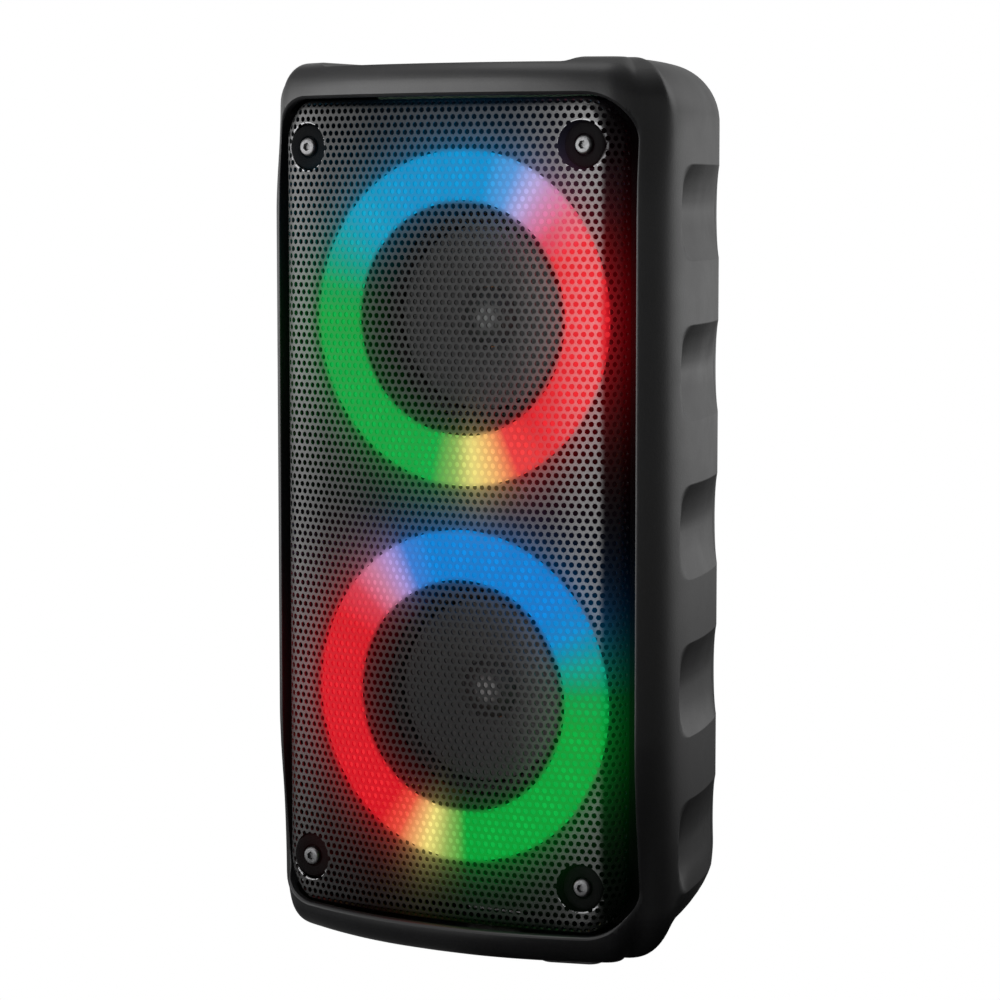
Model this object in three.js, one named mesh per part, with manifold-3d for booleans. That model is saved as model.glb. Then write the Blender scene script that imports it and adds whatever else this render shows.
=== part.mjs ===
// Portable party speaker: a free-standing moulded cabinet with two 3-inch full-range drivers behind
// a convex steel grille, an RGB light ring around each driver, a control panel on top, a socket
// panel and a bass reflex port at the rear, and an internal battery.
// Frame: millimetres, +Z up, the front faces -Y. The origin is on the rest plane (underside of the
// rubber feet), in the middle of the cabinet's width and depth. Left is -X and right is +X.
import * as THREE from "three";
import { mergeVertices } from "three/addons/utils/BufferGeometryUtils.js";
import Module from "manifold-3d";

const wasm = await Module();
wasm.setup();

// ---------------------------------------------------------------- driving dimensions
// A rectangle is [x0, low, x1, high]; low and high run along z on upright faces, y on flat ones.
const DEPTH = 113.5; // front crown of the bezel to the flat back
const FRONT_Y = -DEPTH / 2;
const BACK_Y = DEPTH / 2;
const SCREW_Y = FRONT_Y + 9.5; // plane of the front screw heads, from which most depths are taken
const TOP_Z = 293.3; // top of the two raised shoulders
const BOTTOM_Z = 2; // underside of the cabinet
const SEAM_Y = SCREW_Y + 80; // where the rear cover meets the front shell
const SEAM_GAP = 0.4;
const WALL = 2.6; // front and back walls
const SIDE_WALL = 5.4; // includes the depth of the side scoops
const FAR = 400; // beyond the cabinet, for cutting tools

const OPENING = [-67.2, 12, 67.2, 281.2]; // grille opening
const OPENING_RADIUS = 15;

const BAFFLE_Y = SCREW_Y + 17.4; // front face
const BAFFLE_BACK_Y = BAFFLE_Y + 3;

const DRIVERS = [
  { name: "lower", z: 84.6, glow: "ringLower" },
  { name: "upper", z: 209.4, glow: "ringUpper" },
];
const FLANGE_Y = SCREW_Y + 24.2; // front face of a driver's flange
const RING_Y = SCREW_Y + 12; // front face of a light ring
const RING_INNER = 38.6;
const RING_OUTER = 55;

const PANEL = [-44, SCREW_Y + 22, 44, SCREW_Y + 54]; // control panel opening
const PANEL_TOP = 291.2;
const PANEL_CLEAR = 0.35; // round the control panel and the socket panel
const BUTTON_Y = (PANEL[1] + PANEL[3]) / 2;
const BUTTON_GAP = 0.4;
const STATUS_Y = BUTTON_Y - 11.5; // status light
const BUTTONS = [
  { name: "power", x: -33, halfWidth: 6.2, halfDepth: 6.2, radius: 6 },
  { name: "previous", x: -16.5, halfWidth: 6.6, halfDepth: 4.6, radius: 2.2 },
  { name: "play_pause", x: 0, halfWidth: 6.8, halfDepth: 6.8, radius: 6.6 },
  { name: "next", x: 16.5, halfWidth: 6.6, halfDepth: 4.6, radius: 2.2 },
  { name: "light_mode", x: 33, halfWidth: 6.2, halfDepth: 6.2, radius: 6 },
];

const PORT_Z = 147; // bass reflex port axis
const PORT_RADIUS = 13;
const SOCKET_OPENING = [-31, 46, 31, 92];
const SOCKET_Y = BACK_Y - 3.4; // outer face of the socket panel
const GRIP = [-36, 238, 36, 262]; // moulded hand grip in the back
const GRIP_DEPTH = 15;

// four places at (+-x, low z) and (+-x, high z)
const corners = (x, [low, high]) => [
  { name: "bottom_left", x: -x, z: low },
  { name: "bottom_right", x, z: low },
  { name: "top_left", x: -x, z: high },
  { name: "top_right", x, z: high },
];
const FRONT_SCREWS = corners(51.7, [27.9, 265.5]);
const SCREW_HEAD_RADIUS = 2.9;
const SCREW_CUP_RADIUS = 7.3;
const REAR_SCREWS = corners(38, [26, 222]);

// turn is in degrees: the front feet follow the curve of the front edge
const FEET = [
  { name: "front_left", x: -40.9, y: SCREW_Y + 14.2, turn: -15.5 },
  { name: "front_right", x: 40.9, y: SCREW_Y + 14.2, turn: 15.5 },
  { name: "rear_left", x: -28, y: SCREW_Y + 66, turn: 0 },
  { name: "rear_right", x: 28, y: SCREW_Y + 66, turn: 0 },
];

// ---------------------------------------------------------------- solids and meshes
// a three.js geometry as a closed solid
function solid(source) {
  const flat = source.index ? source.toNonIndexed() : source;
  const bare = new THREE.BufferGeometry();
  bare.setAttribute("position", flat.getAttribute("position"));
  const merged = mergeVertices(bare, 1e-4);
  return new wasm.Manifold(
    new wasm.Mesh({
      numProp: 3,
      vertProperties: new Float32Array(merged.attributes.position.array),
      triVerts: new Uint32Array(merged.index.array),
    }),
  );
}

function geometry(body) {
  const mesh = body.getMesh();
  const positions = new Float32Array(mesh.numVert * 3);
  for (let i = 0; i < mesh.numVert; i++) {
    const start = i * mesh.numProp;
    positions.set(mesh.vertProperties.subarray(start, start + 3), i * 3);
  }
  const result = new THREE.BufferGeometry();
  result.setAttribute("position", new THREE.BufferAttribute(positions, 3));
  result.setIndex(new THREE.BufferAttribute(new Uint32Array(mesh.triVerts), 1));
  result.computeVertexNormals();
  return result;
}

const union = (bodies) => bodies.reduce((a, b) => a.add(b));
const cutAll = (body, tools) => tools.reduce((a, b) => a.subtract(b), body);
const vectors = (points) => points.map(([x, y]) => new THREE.Vector2(x, y));

function regularPolygon(sides, radius, cx = 0, cy = 0) {
  return Array.from({ length: sides }, (_, i) => {
    const angle = (2 * Math.PI * i) / sides;
    return [cx + radius * Math.cos(angle), cy + radius * Math.sin(angle)];
  });
}

// a rectangle grown by the margin, with rounded corners of the given radius
function roundRect([x0, low, x1, high], radius, margin = 0, steps = 4) {
  const [left, bottom, right, top] = [x0 - margin, low - margin, x1 + margin, high + margin];
  const r = Math.min(radius, (right - left) / 2 - 1e-3, (top - bottom) / 2 - 1e-3);
  const centres = [
    [right - r, bottom + r, -90],
    [right - r, top - r, 0],
    [left + r, top - r, 90],
    [left + r, bottom + r, 180],
  ];
  const points = [];
  for (const [cx, cy, start] of centres)
    for (let i = 0; i <= steps; i++) {
      const angle = THREE.MathUtils.degToRad(start + (90 * i) / steps);
      points.push([cx + r * Math.cos(angle), cy + r * Math.sin(angle)]);
    }
  return points;
}

const extrude = (outline, depth) =>
  new THREE.ExtrudeGeometry(new THREE.Shape(vectors(outline)), { depth, bevelEnabled: false });

// an (x, y) outline from z0 to z1
const prismZ = (outline, z0, z1) => solid(extrude(outline, z1 - z0).translate(0, 0, z0));

// an (x, z) outline from y0 to y1
const prismY = (outline, y0, y1) =>
  solid(extrude(outline, y1 - y0).rotateX(Math.PI / 2).translate(0, y1, 0));

function box([x0, x1], [y0, y1], [z0, z1]) {
  const block = new THREE.BoxGeometry(x1 - x0, y1 - y0, z1 - z0);
  return solid(block.translate((x0 + x1) / 2, (y0 + y1) / 2, (z0 + z1) / 2));
}

// a box over an (x, z) rectangle grown by the margin
const boxY = ([x0, z0, x1, z1], y0, y1, margin = 0) =>
  box([x0 - margin, x1 + margin], [y0, y1], [z0 - margin, z1 + margin]);

const rod = (radius, length, seg) => new THREE.CylinderGeometry(radius, radius, length, seg, 1);
const cylinderX = ([y, z], radius, x0, x1, seg) =>
  solid(rod(radius, x1 - x0, seg).rotateZ(-Math.PI / 2).translate((x0 + x1) / 2, y, z));
const cylinderY = ([x, z], radius, y0, y1, seg) =>
  solid(rod(radius, y1 - y0, seg).translate(x, (y0 + y1) / 2, z));
const cylinderZ = ([x, y], radius, z0, z1, seg) =>
  solid(rod(radius, z1 - z0, seg).rotateX(Math.PI / 2).translate(x, y, (z0 + z1) / 2));

// a profile of [radius, depth behind y] turned about the line through (x, z) along Y;
// a profile that stays off the axis closes on itself
function lathe(profile, { x = 0, y = 0, z, seg = 20 }) {
  const points = profile.map(([r, depth]) => [r, y + depth]);
  const area = points.reduce((sum, [a, b], i) => {
    const [c, d] = points[(i + 1) % points.length];
    return sum + a * d - c * b;
  }, 0);
  if (area <= 0) points.reverse();
  if (points.every(([r]) => r > 0)) points.push(points[0]);
  return solid(new THREE.LatheGeometry(vectors(points), seg).translate(x, 0, z));
}

// a closed surface through rings of equal count, with both ends capped
function skin(rings, capTriangles) {
  const count = rings[0].length;
  const last = (rings.length - 1) * count;
  const index = [];
  for (let start = 0; start < last; start += count)
    for (let i = 0; i < count; i++) {
      const here = start + i;
      const next = start + ((i + 1) % count);
      index.push(here, next, next + count, here, next + count, here + count);
    }
  for (const [a, b, c] of capTriangles(rings[0])) index.push(c, b, a);
  for (const [a, b, c] of capTriangles(rings.at(-1))) index.push(last + a, last + b, last + c);
  const surface = new THREE.BufferGeometry();
  surface.setAttribute("position", new THREE.Float32BufferAttribute(rings.flat(2), 3));
  surface.setIndex(index);
  return solid(surface);
}
const flatCap = (ring) => THREE.ShapeUtils.triangulateShape(vectors(ring), []);
const fanCap = (ring) => ring.slice(2).map((_, i) => [0, i + 1, i + 2]);
const loft = (rings) => skin(rings, flatCap);
const atHeight = (outline, z) => outline.map(([x, y]) => [x, y, z]);

// a five-sided cable along a smooth path of [x, depth behind the screw plane, z]
function cable(points, radius) {
  const path = points.map(([x, depth, z]) => new THREE.Vector3(x, SCREW_Y + depth, z));
  const section = new THREE.Shape(vectors(regularPolygon(5, radius)));
  const extrudePath = new THREE.CatmullRomCurve3(path);
  const options = { steps: 8, bevelEnabled: false, extrudePath };
  return solid(new THREE.ExtrudeGeometry(section, options));
}

// unit normals to the right of the direction of travel, which is outwards on an anticlockwise path
function pathNormals(points, closed) {
  const count = points.length;
  return points.map((_, i) => {
    const before = points[closed ? (i + count - 1) % count : Math.max(0, i - 1)];
    const after = points[closed ? (i + 1) % count : Math.min(count - 1, i + 1)];
    const [dx, dy] = [after[0] - before[0], after[1] - before[1]];
    const length = Math.hypot(dx, dy);
    return [dy / length, -dx / length];
  });
}

// ---------------------------------------------------------------- cabinet body
// Right half in plan, front crown to the middle of the back: [x, depth behind the screw plane]
const HALF_PLAN = [
  [0, -9.5], [16, -8.67], [32, -6.2], [46, -2.67], [57, 1.0], [64.2, 3.95],
  [69.0, 7.7], [72.2, 13.2], [73.8, 21.0], [73.5, 32.0], [70.9, 47.0], [66.4, 63.5],
  [60.6, 80.0], [56.2, 88.0], [50.0, 95.3], [42.5, 100.4], [35.0, 103.0], [27.0, 104.0],
  [0, 104.0],
].map(([x, depth]) => [x, SCREW_Y + depth]);

// the whole outline, anticlockwise from above; the flat back needs no middle point
const rightPlan = HALF_PLAN.slice(0, -1);
const leftPlan = rightPlan.slice(1).reverse().map(([x, y]) => [-x, y]);
const PLAN = [...rightPlan, ...leftPlan];
const PLAN_NORMALS = pathNormals(PLAN, true);

// 0 below the start, 1 beyond start + span, with a smooth step between
function ramp(value, start, span) {
  const t = THREE.MathUtils.clamp((value - start) / span, 0, 1);
  return t * t * (3 - 2 * t);
}

// how far a rounded edge of the given radius draws in at a distance from the edge
const edgeRound = (distance, radius) =>
  distance >= radius ? 0 : radius - Math.sqrt(radius ** 2 - (radius - distance) ** 2);

// how far the outline is drawn in at height z, for a wall with the given plan normal
function inset(z, [nx, ny]) {
  const facing = THREE.MathUtils.radToDeg(Math.atan2(ny, Math.abs(nx))); // -90 front, 90 back
  const front = 1 - ramp(facing, -78, 34); // 1 on the front face
  const corner = 1 - ramp(facing, -34, 30); // 1 at the front corner, 0 on the side
  const below = Math.max(0, TOP_Z - z);
  const above = Math.max(0, z - BOTTOM_Z);
  const barrel = corner * (1 - front) * (2 * ramp(50 - below, 0, 42) + 3.3 * ramp(75 - above, 0, 66));
  const topRadius = 13 + 6.5 * ramp(facing, -14, 12);
  const bottomRadius = 15 + 13.5 * ramp(facing, -10, 24);
  const side = edgeRound(below, topRadius) + edgeRound(above, bottomRadius) + barrel;
  const face = edgeRound(below, 7) + edgeRound(above, 8);
  return side * (1 - front) + face * front;
}

const wallThickness = ([, ny]) => (ny < -0.85 || ny > 0.93 ? WALL : SIDE_WALL);

function cabinetLoft(levels, thickness) {
  const ringAt = (z) =>
    PLAN.map(([x, y], i) => {
      const normal = PLAN_NORMALS[i];
      const draw = inset(z, normal) + thickness(normal);
      return [x - normal[0] * draw, y - normal[1] * draw, z];
    });
  return loft(levels.map(ringAt));
}
const OUTER_LEVELS = [BOTTOM_Z, 3.2, 6.5, 12, 20, 31, 75, 243, 270, 280, 287, 291.2, TOP_Z];
const INNER_LEVELS = [5, 10, 20, 34, 262, 278, 286, 289.1];
const outer = cabinetLoft(OUTER_LEVELS, () => 0);
const inner = cabinetLoft(INNER_LEVELS, wallThickness);

// ---------------------------------------------------------------- side scoops
const SCOOP_HEIGHTS = [37.6, 89.2, 140.9, 192.5, 244.1]; // centres
const SCOOP_HALF_HEIGHT = 15.4;
const SCOOP_DEPTH = 2.8;
const SCOOP_SPANS = 5; // straight spans across the groove
const SCOOP_OVERHANG = 3; // of the cutter outside the wall
// [distance behind the screw plane, share of the depth, share of the height]
const SCOOP_STATIONS = [
  [30.5, 0, 0.8], [34, 0.75, 0.98], [40, 1, 1], [56, 1, 1], [74, 0.95, 1], [93, 0.1, 0.8],
];
const planCurve = new THREE.CatmullRomCurve3(
  HALF_PLAN.map(([x, y]) => new THREE.Vector3(x, y, 0)),
  false,
  "centripetal",
);

// the point and outward normal of the right wall at y, found by halving the curve's range
function wallAt(y) {
  let low = 0.3;
  let high = 0.98;
  for (let i = 0; i < 40; i++) {
    const middle = (low + high) / 2;
    if (planCurve.getPoint(middle).y < y) low = middle;
    else high = middle;
  }
  const tangent = planCurve.getTangent(low);
  return { point: planCurve.getPoint(low), nx: tangent.y, ny: -tangent.x };
}

// a lens-shaped groove along the right side wall, fading out at both ends
function scoop(centreZ) {
  const rings = SCOOP_STATIONS.map(([behind, depthShare, heightShare]) => {
    const { point, nx, ny } = wallAt(SCREW_Y + behind);
    const deepest = SCOOP_DEPTH * depthShare + 0.02;
    const place = (depth, t) => [
      point.x - nx * depth,
      point.y - ny * depth,
      centreZ + SCOOP_HALF_HEIGHT * heightShare * t,
    ];
    const ring = [];
    for (let i = 0; i <= SCOOP_SPANS; i++) {
      const t = -1 + (2 * i) / SCOOP_SPANS;
      ring.push(place(deepest * (1 - t * t) - 0.15 * Math.abs(t) ** 6, t));
    }
    return [...ring, place(-SCOOP_OVERHANG, 1), place(-SCOOP_OVERHANG, -1)];
  });
  return skin(rings, fanCap);
}
const rightScoops = union(SCOOP_HEIGHTS.map(scoop));
const scoops = rightScoops.add(rightScoops.mirror([1, 0, 0]));

// ---------------------------------------------------------------- shells
const RECESS_DEPTH = 1.6; // top surface between the shoulders lies this much lower
const RECESS_HALF = 47; // half width of that lower surface

function topRecess() {
  const rightEdge = [
    [RECESS_HALF - 2.2, TOP_Z - RECESS_DEPTH],
    [RECESS_HALF + 1.2, TOP_Z],
    [RECESS_HALF + 3.2, TOP_Z + 1],
  ];
  const leftEdge = rightEdge.map(([x, z]) => [-x, z]).reverse();
  return prismY([...leftEdge, ...rightEdge], -FAR, FAR);
}
const shell = cutAll(outer, [inner, scoops, topRecess()]);

const openingOutline = (clearance) =>
  roundRect(OPENING, OPENING_RADIUS - clearance, -clearance, 5);

// takes a front screw; stands on the side wall behind the baffle
function screwBlock({ x, z }) {
  const width = x > 0 ? [x - 5, x + 24] : [x - 24, x + 5];
  return box(width, [BAFFLE_BACK_Y + 0.3, SCREW_Y + 32], [z - 6, z + 6])
    .subtract(cylinderY([x, z], 1.6, SCREW_Y + 10, SCREW_Y + 30, 8))
    .intersect(outer);
}

// a foot's outline grown by the margin
function footOutline({ x, y, turn }, margin) {
  const angle = THREE.MathUtils.degToRad(turn);
  const [cos, sin] = [Math.cos(angle), Math.sin(angle)];
  return roundRect([-10.5, -4.6, 10.5, 4.6], 4.6 + margin, margin).map(([u, v]) => [
    x + cos * u - sin * v,
    y + sin * u + cos * v,
  ]);
}

function frontShell() {
  const frontHalf = box([-FAR, FAR], [-FAR, SEAM_Y - SEAM_GAP / 2], [-10, FAR]);
  const body = shell
    .subtract(prismY(openingOutline(0), FRONT_Y - 10, SCREW_Y + 34))
    .add(union(FRONT_SCREWS.map(screwBlock)))
    .subtract(scoops)
    .subtract(prismZ(roundRect(PANEL, 5), 280, 300))
    .intersect(frontHalf);
  // the feet stand in shallow pockets in the underside
  return cutAll(body, FEET.map((place) => prismZ(footOutline(place, 0.3), 0, 3.5)));
}

function rearCover() {
  const rearHalf = box([-FAR, FAR], [SEAM_Y + SEAM_GAP / 2, FAR], [-10, FAR]);
  const gripBlock = prismY(roundRect(GRIP, 9, WALL), SEAM_Y + 4, FAR).intersect(outer);
  const bosses = REAR_SCREWS.map(({ x, z }) =>
    cylinderY([x, z], 5.6, SEAM_Y + 3, FAR, 10).intersect(outer),
  );
  const screwHoles = REAR_SCREWS.flatMap(({ x, z }) => [
    cylinderY([x, z], 3.6, BACK_Y - 8, FAR, 12),
    cylinderY([x, z], 1.9, SEAM_Y, FAR, 8),
  ]);
  const body = cutAll(shell.intersect(rearHalf).add(gripBlock), [
    prismY(roundRect(GRIP, 7), BACK_Y - GRIP_DEPTH, FAR),
    prismY(roundRect(SOCKET_OPENING, 4), SEAM_Y + 2, FAR),
    cylinderY([0, PORT_Z], PORT_RADIUS + 4, SEAM_Y, FAR, 28),
  ]);
  return cutAll(body.add(union(bosses)), screwHoles);
}

// ---------------------------------------------------------------- grille
const GRILLE_CURVE = 230; // plan radius of the face
const GRILLE_THICKNESS = 0.9;
const GRILLE_CLEAR = 0.7; // to the opening

function grillePlate() {
  const crown = [0, 10, 20, 30, 40, 50, 58].map((x) => [x, x ** 2 / (2 * GRILLE_CURVE) - 5.8]);
  // the side edge rolls back towards the cabinet
  const roll = [[61.4, 3.2], [63.9, 5.6], [65.5, 8.2], [66.3, 11.4]];
  const right = [...crown, ...roll].map(([x, depth]) => [x, SCREW_Y + depth]);
  const front = [...right.slice(1).reverse().map(([x, y]) => [-x, y]), ...right];
  const normals = pathNormals(front, false);
  const back = front.map(([x, y], i) => [
    x - normals[i][0] * GRILLE_THICKNESS,
    y - normals[i][1] * GRILLE_THICKNESS,
  ]);
  const [y0, y1] = [FRONT_Y - 10, SCREW_Y + 30];
  const plate = prismZ(
    [...front, ...back.reverse()],
    OPENING[1] + GRILLE_CLEAR,
    OPENING[3] - GRILLE_CLEAR,
  ).intersect(prismY(openingOutline(GRILLE_CLEAR), y0, y1));
  const cupHole = ({ x, z }) => cylinderY([x, z], SCREW_CUP_RADIUS + 0.4, y0, y1, 16);
  return cutAll(plate, FRONT_SCREWS.map(cupHole));
}

// ---------------------------------------------------------------- front screws, baffle
// button head with a hex socket
function frontScrew({ x, z }) {
  const profile = [
    [0, -0.1], [1.9, 0], [2.55, 0.5], [SCREW_HEAD_RADIUS, 1.4],
    [SCREW_HEAD_RADIUS, 1.8], [1.4, 1.8], [1.4, 28], [0, 28],
  ];
  const hexSocket = prismY(regularPolygon(6, 1.16, x, z), SCREW_Y - 1, SCREW_Y + 1.2);
  return lathe(profile, { x, y: SCREW_Y, z, seg: 10 }).subtract(hexSocket);
}

// the trim funnel between a light ring and its driver
function trimFunnel(z) {
  const outerRadius = RING_INNER - 0.4;
  const profile = [
    [outerRadius, RING_Y - 0.2],
    [outerRadius - 1, RING_Y - 0.4],
    [34.6, FLANGE_Y - 0.4],
    [outerRadius, FLANGE_Y - 0.4],
  ];
  return lathe(profile, { z, seg: 28 });
}

function bafflePlate() {
  const [x0, z0, x1, z1] = OPENING;
  const outline = roundRect([x0 + 1, z0 + 1.2, x1 - 1, z1 - 1.2], 14);
  let plate = prismY(outline, BAFFLE_Y, BAFFLE_BACK_Y);
  for (const { z } of DRIVERS)
    plate = plate
      .subtract(cylinderY([0, z], 36, BAFFLE_Y - 5, BAFFLE_Y + 10, 28))
      .add(trimFunnel(z));
  // the screws sit in raised cups
  for (const { x, z } of FRONT_SCREWS)
    plate = plate
      .add(cylinderY([x, z], SCREW_CUP_RADIUS, SCREW_Y + 1.2, BAFFLE_Y + 1, 16))
      .subtract(cylinderY([x, z], SCREW_HEAD_RADIUS + 0.6, SCREW_Y, SCREW_Y + 2.4, 12))
      .subtract(cylinderY([x, z], 1.8, SCREW_Y, SCREW_Y + 40, 8));
  return plate;
}

// ---------------------------------------------------------------- light rings
function diffuser(z) {
  const profile = [
    [RING_INNER, 3], [RING_INNER, 0.6], [RING_INNER + 0.6, 0],
    [RING_OUTER - 0.6, 0], [RING_OUTER, 0.6], [RING_OUTER, 3],
  ];
  return lathe(profile, { y: RING_Y, z, seg: 28 });
}

function ledBoard(z) {
  const [r0, r1] = [RING_INNER + 0.6, RING_OUTER - 0.6];
  return lathe([[r0, 3.4], [r1, 3.4], [r1, 5], [r0, 5]], { y: RING_Y, z, seg: 24 });
}

// ---------------------------------------------------------------- drivers
// Profiles are [radius, depth behind the flange's front face].
const BASKET = [
  [40, 0], [40, 1.6], [36.8, 2.2], [23.5, 20], [23.5, 21.4],
  [11.7, 21.4], [11.7, 20], [22, 20], [35.4, 1.8], [35.6, 0],
];
const MAGNET = [
  [0, 23], [9.3, 23], [9.3, 34], [11.4, 34], [11.4, 21.8], [20, 21.8],
  [20.4, 25.4], [26, 25.4], [26, 36.4], [23, 36.4], [22.6, 40], [0, 40],
];
const SPIDER = [
  [11.6, 15.2], [14.6, 14.2], [17.8, 15.4], [23, 15.4],
  [23, 16.2], [17.6, 16.2], [14.6, 15.2], [11.6, 16.2],
];
const CONE = [[30.4, 2.2], [30, 3.3], [10.2, 7.9], [10, 7]];
const DUST_CAP = [[0, 4.4], [5, 5], [9, 7.4], [8.6, 8], [0, 5.5]];
const VOICE_COIL = [[9.8, 8.3], [10.7, 8.3], [10.7, 29], [9.8, 29]];

// the half-roll of the surround: its front arc, then its back arc
function surroundProfile() {
  const frontArc = [0, 1, 2, 3].map((i) => {
    const angle = (Math.PI * i) / 3;
    return [33 - 1.8 * Math.cos(angle), 1.4 - 1.5 * Math.sin(angle)];
  });
  const backArc = [2, 1].map((i) => {
    const angle = (Math.PI * i) / 3;
    return [33.1 - 1.3 * Math.cos(angle), 2 - 1.2 * Math.sin(angle)];
  });
  return [...frontArc, [34.9, 2], ...backArc, [31.2, 2]];
}

const driverPart = (profile, z, seg) => lathe(profile, { y: FLANGE_Y, z, seg });

// two crossed cutters open four windows
function basket(z) {
  const cutter = box([-7, 7], [FLANGE_Y + 5, FLANGE_Y + 15], [-60, 60]);
  const windows = [45, 135].map((turn) => cutter.rotate([0, turn, 0]).translate([0, 0, z]));
  return cutAll(driverPart(BASKET, z), windows);
}

// ---------------------------------------------------------------- control panel
function buttonOutline({ x, halfWidth, halfDepth, radius }, margin) {
  const rect = [x - halfWidth, BUTTON_Y - halfDepth, x + halfWidth, BUTTON_Y + halfDepth];
  return roundRect(rect, radius + margin, margin, 3);
}

// a face plate on a wider flange, with holes for the buttons and the status light
function controlPanel() {
  const face = prismZ(roundRect(PANEL, 4.7, -PANEL_CLEAR), 288, PANEL_TOP);
  const flange = prismZ(roundRect(PANEL, 6, 3), 286.8, 288.5);
  return cutAll(face.add(flange), [
    ...BUTTONS.map((item) => prismZ(buttonOutline(item, BUTTON_GAP), 280, 300)),
    cylinderZ([0, STATUS_Y], 1.5, 280, 300, 12),
  ]);
}

function button(item) {
  const side = buttonOutline(item, 0);
  const top = buttonOutline(item, -0.6);
  return loft([atHeight(side, 286.2), atHeight(side, 291.9), atHeight(top, 292.4)]);
}

const statusLight = () => cylinderZ([0, STATUS_Y], 1.2, 286.4, 291.4, 12);

// a board with one switch post under each button
function keyBoard() {
  const board = roundRect([-43, BUTTON_Y - 9, 43, BUTTON_Y + 9], 1, 0, 1);
  const posts = BUTTONS.map(({ x }) => cylinderZ([x, BUTTON_Y], 2.2, 283, 285.2, 6));
  return union([prismZ(board, 281.6, 283.2), ...posts]);
}

// ---------------------------------------------------------------- sockets
const USB_A = [-24, 76, -10, 82];
const USB_C = [-21.7, 60.5, -12.3, 63.9];
const SWITCH = [7.1, 58.1, 13.9, 63.9];
const SWITCH_SLOT = [6.6, 57.6, 18.6, 64.4];
const LINE_IN = { x: 0, z: 79, radius: 3.5, bore: 1.75 };
const MICROPHONE = { x: 17, z: 77, radius: 6, bore: 3.2 };
const SOCKET_BACK_Y = SOCKET_Y - 11.7; // inner end of the sockets, by the main board

function socketPanel() {
  const face = roundRect(SOCKET_OPENING, 3.7, -PANEL_CLEAR);
  const flange = roundRect(SOCKET_OPENING, 5, 2);
  const [y0, y1] = [SOCKET_Y - 10, SOCKET_Y + 5];
  const jackHole = ({ x, z, radius }, seg) => cylinderY([x, z], radius + 0.4, y0, y1, seg);
  const plate = prismY(face, SOCKET_Y - 2.4, SOCKET_Y);
  return cutAll(plate.add(prismY(flange, SOCKET_Y - 3.6, SOCKET_Y - 2.2)), [
    boxY(USB_A, y0, y1, 0.4),
    prismY(roundRect(USB_C, 2.1, 0.5, 3), y0, y1),
    jackHole(LINE_IN, 16),
    jackHole(MICROPHONE, 20),
    boxY(SWITCH_SLOT, y0, y1),
  ]);
}

const mainBoard = () => boxY([-34, 42, 34, 104], SOCKET_Y - 13.6, SOCKET_Y - 12);

function usbASocket() {
  const cavity = boxY(USB_A, SOCKET_Y - 8, SOCKET_Y + 1, -0.8);
  const tongue = boxY([-21.5, 79.3, -12.5, 80.6], SOCKET_Y - 9, SOCKET_Y + 2);
  return boxY(USB_A, SOCKET_BACK_Y, SOCKET_Y - 0.4).subtract(cavity.subtract(tongue));
}

function usbCSocket() {
  const cavity = prismY(roundRect(USB_C, 1.05, -0.6, 2), SOCKET_Y - 7, SOCKET_Y + 2);
  const body = prismY(roundRect(USB_C, 1.69, 0, 2), SOCKET_BACK_Y, SOCKET_Y - 0.5);
  return body.subtract(cavity);
}

function jack({ x, z, radius, bore }) {
  const [y0, y1] = [SOCKET_BACK_Y, SOCKET_Y + 0.8];
  return lathe([[bore, y1], [radius, y1], [radius, y0], [bore, y0]], { x, z, seg: 12 });
}

const switchSlider = () => boxY(SWITCH, SOCKET_Y - 10.5, SOCKET_Y + 0.9);

// ---------------------------------------------------------------- port, rear screws
function portTube() {
  const profile = [
    [PORT_RADIUS + 3.6, -0.3], [PORT_RADIUS + 0.8, -1.2], [PORT_RADIUS, -4.5],
    [PORT_RADIUS, -46], [PORT_RADIUS + 1.8, -46], [PORT_RADIUS + 1.8, -6],
    [PORT_RADIUS + 3.6, -4],
  ];
  return lathe(profile, { y: BACK_Y, z: PORT_Z });
}

// slotted domed head
function rearScrew({ x, z }) {
  const y = BACK_Y - 5.4;
  const profile = [[0, 0], [2, -0.2], [3, -1.2], [3, -2.2], [1.4, -2.2], [1.4, -16], [0, -16]];
  const slot = box([x - 1.7, x + 1.7], [y - 0.9, y + 1], [z - 0.35, z + 0.35]);
  return lathe(profile, { x, y, z, seg: 10 }).subtract(slot);
}

// ---------------------------------------------------------------- battery, feet, cables
const CELL_RADIUS = 9.2;
const CELL_HALF = 36; // half length
const CELL_Y = [SCREW_Y + 46, SCREW_Y + 64.8]; // axes of the two cells
const CELL_Z = 18.6;

function batteryPack() {
  const cells = CELL_Y.map((y) => cylinderX([y, CELL_Z], CELL_RADIUS, -CELL_HALF, CELL_HALF, 18));
  const core = box([-CELL_HALF, CELL_HALF], CELL_Y, [CELL_Z - 7.1, CELL_Z + 6.9]);
  return union([...cells, core]);
}

// a bridge over the pack with a leg in front of it and one behind
function batteryStrap() {
  const [width, y0, y1, topZ, leg] = [[-10, 10], SCREW_Y + 34.2, SCREW_Y + 76.6, 29.6, 1.6];
  return union([
    box(width, [y0, y1], [28.2, topZ]),
    box(width, [y0, y0 + leg], [8.4, topZ]),
    box(width, [y1 - leg, y1], [8.4, topZ]),
  ]);
}

function foot(place) {
  const sole = footOutline(place, -0.6);
  const side = footOutline(place, 0);
  return loft([atHeight(sole, 0), atHeight(side, 0.7), atHeight(side, 3.2)]);
}

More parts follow.
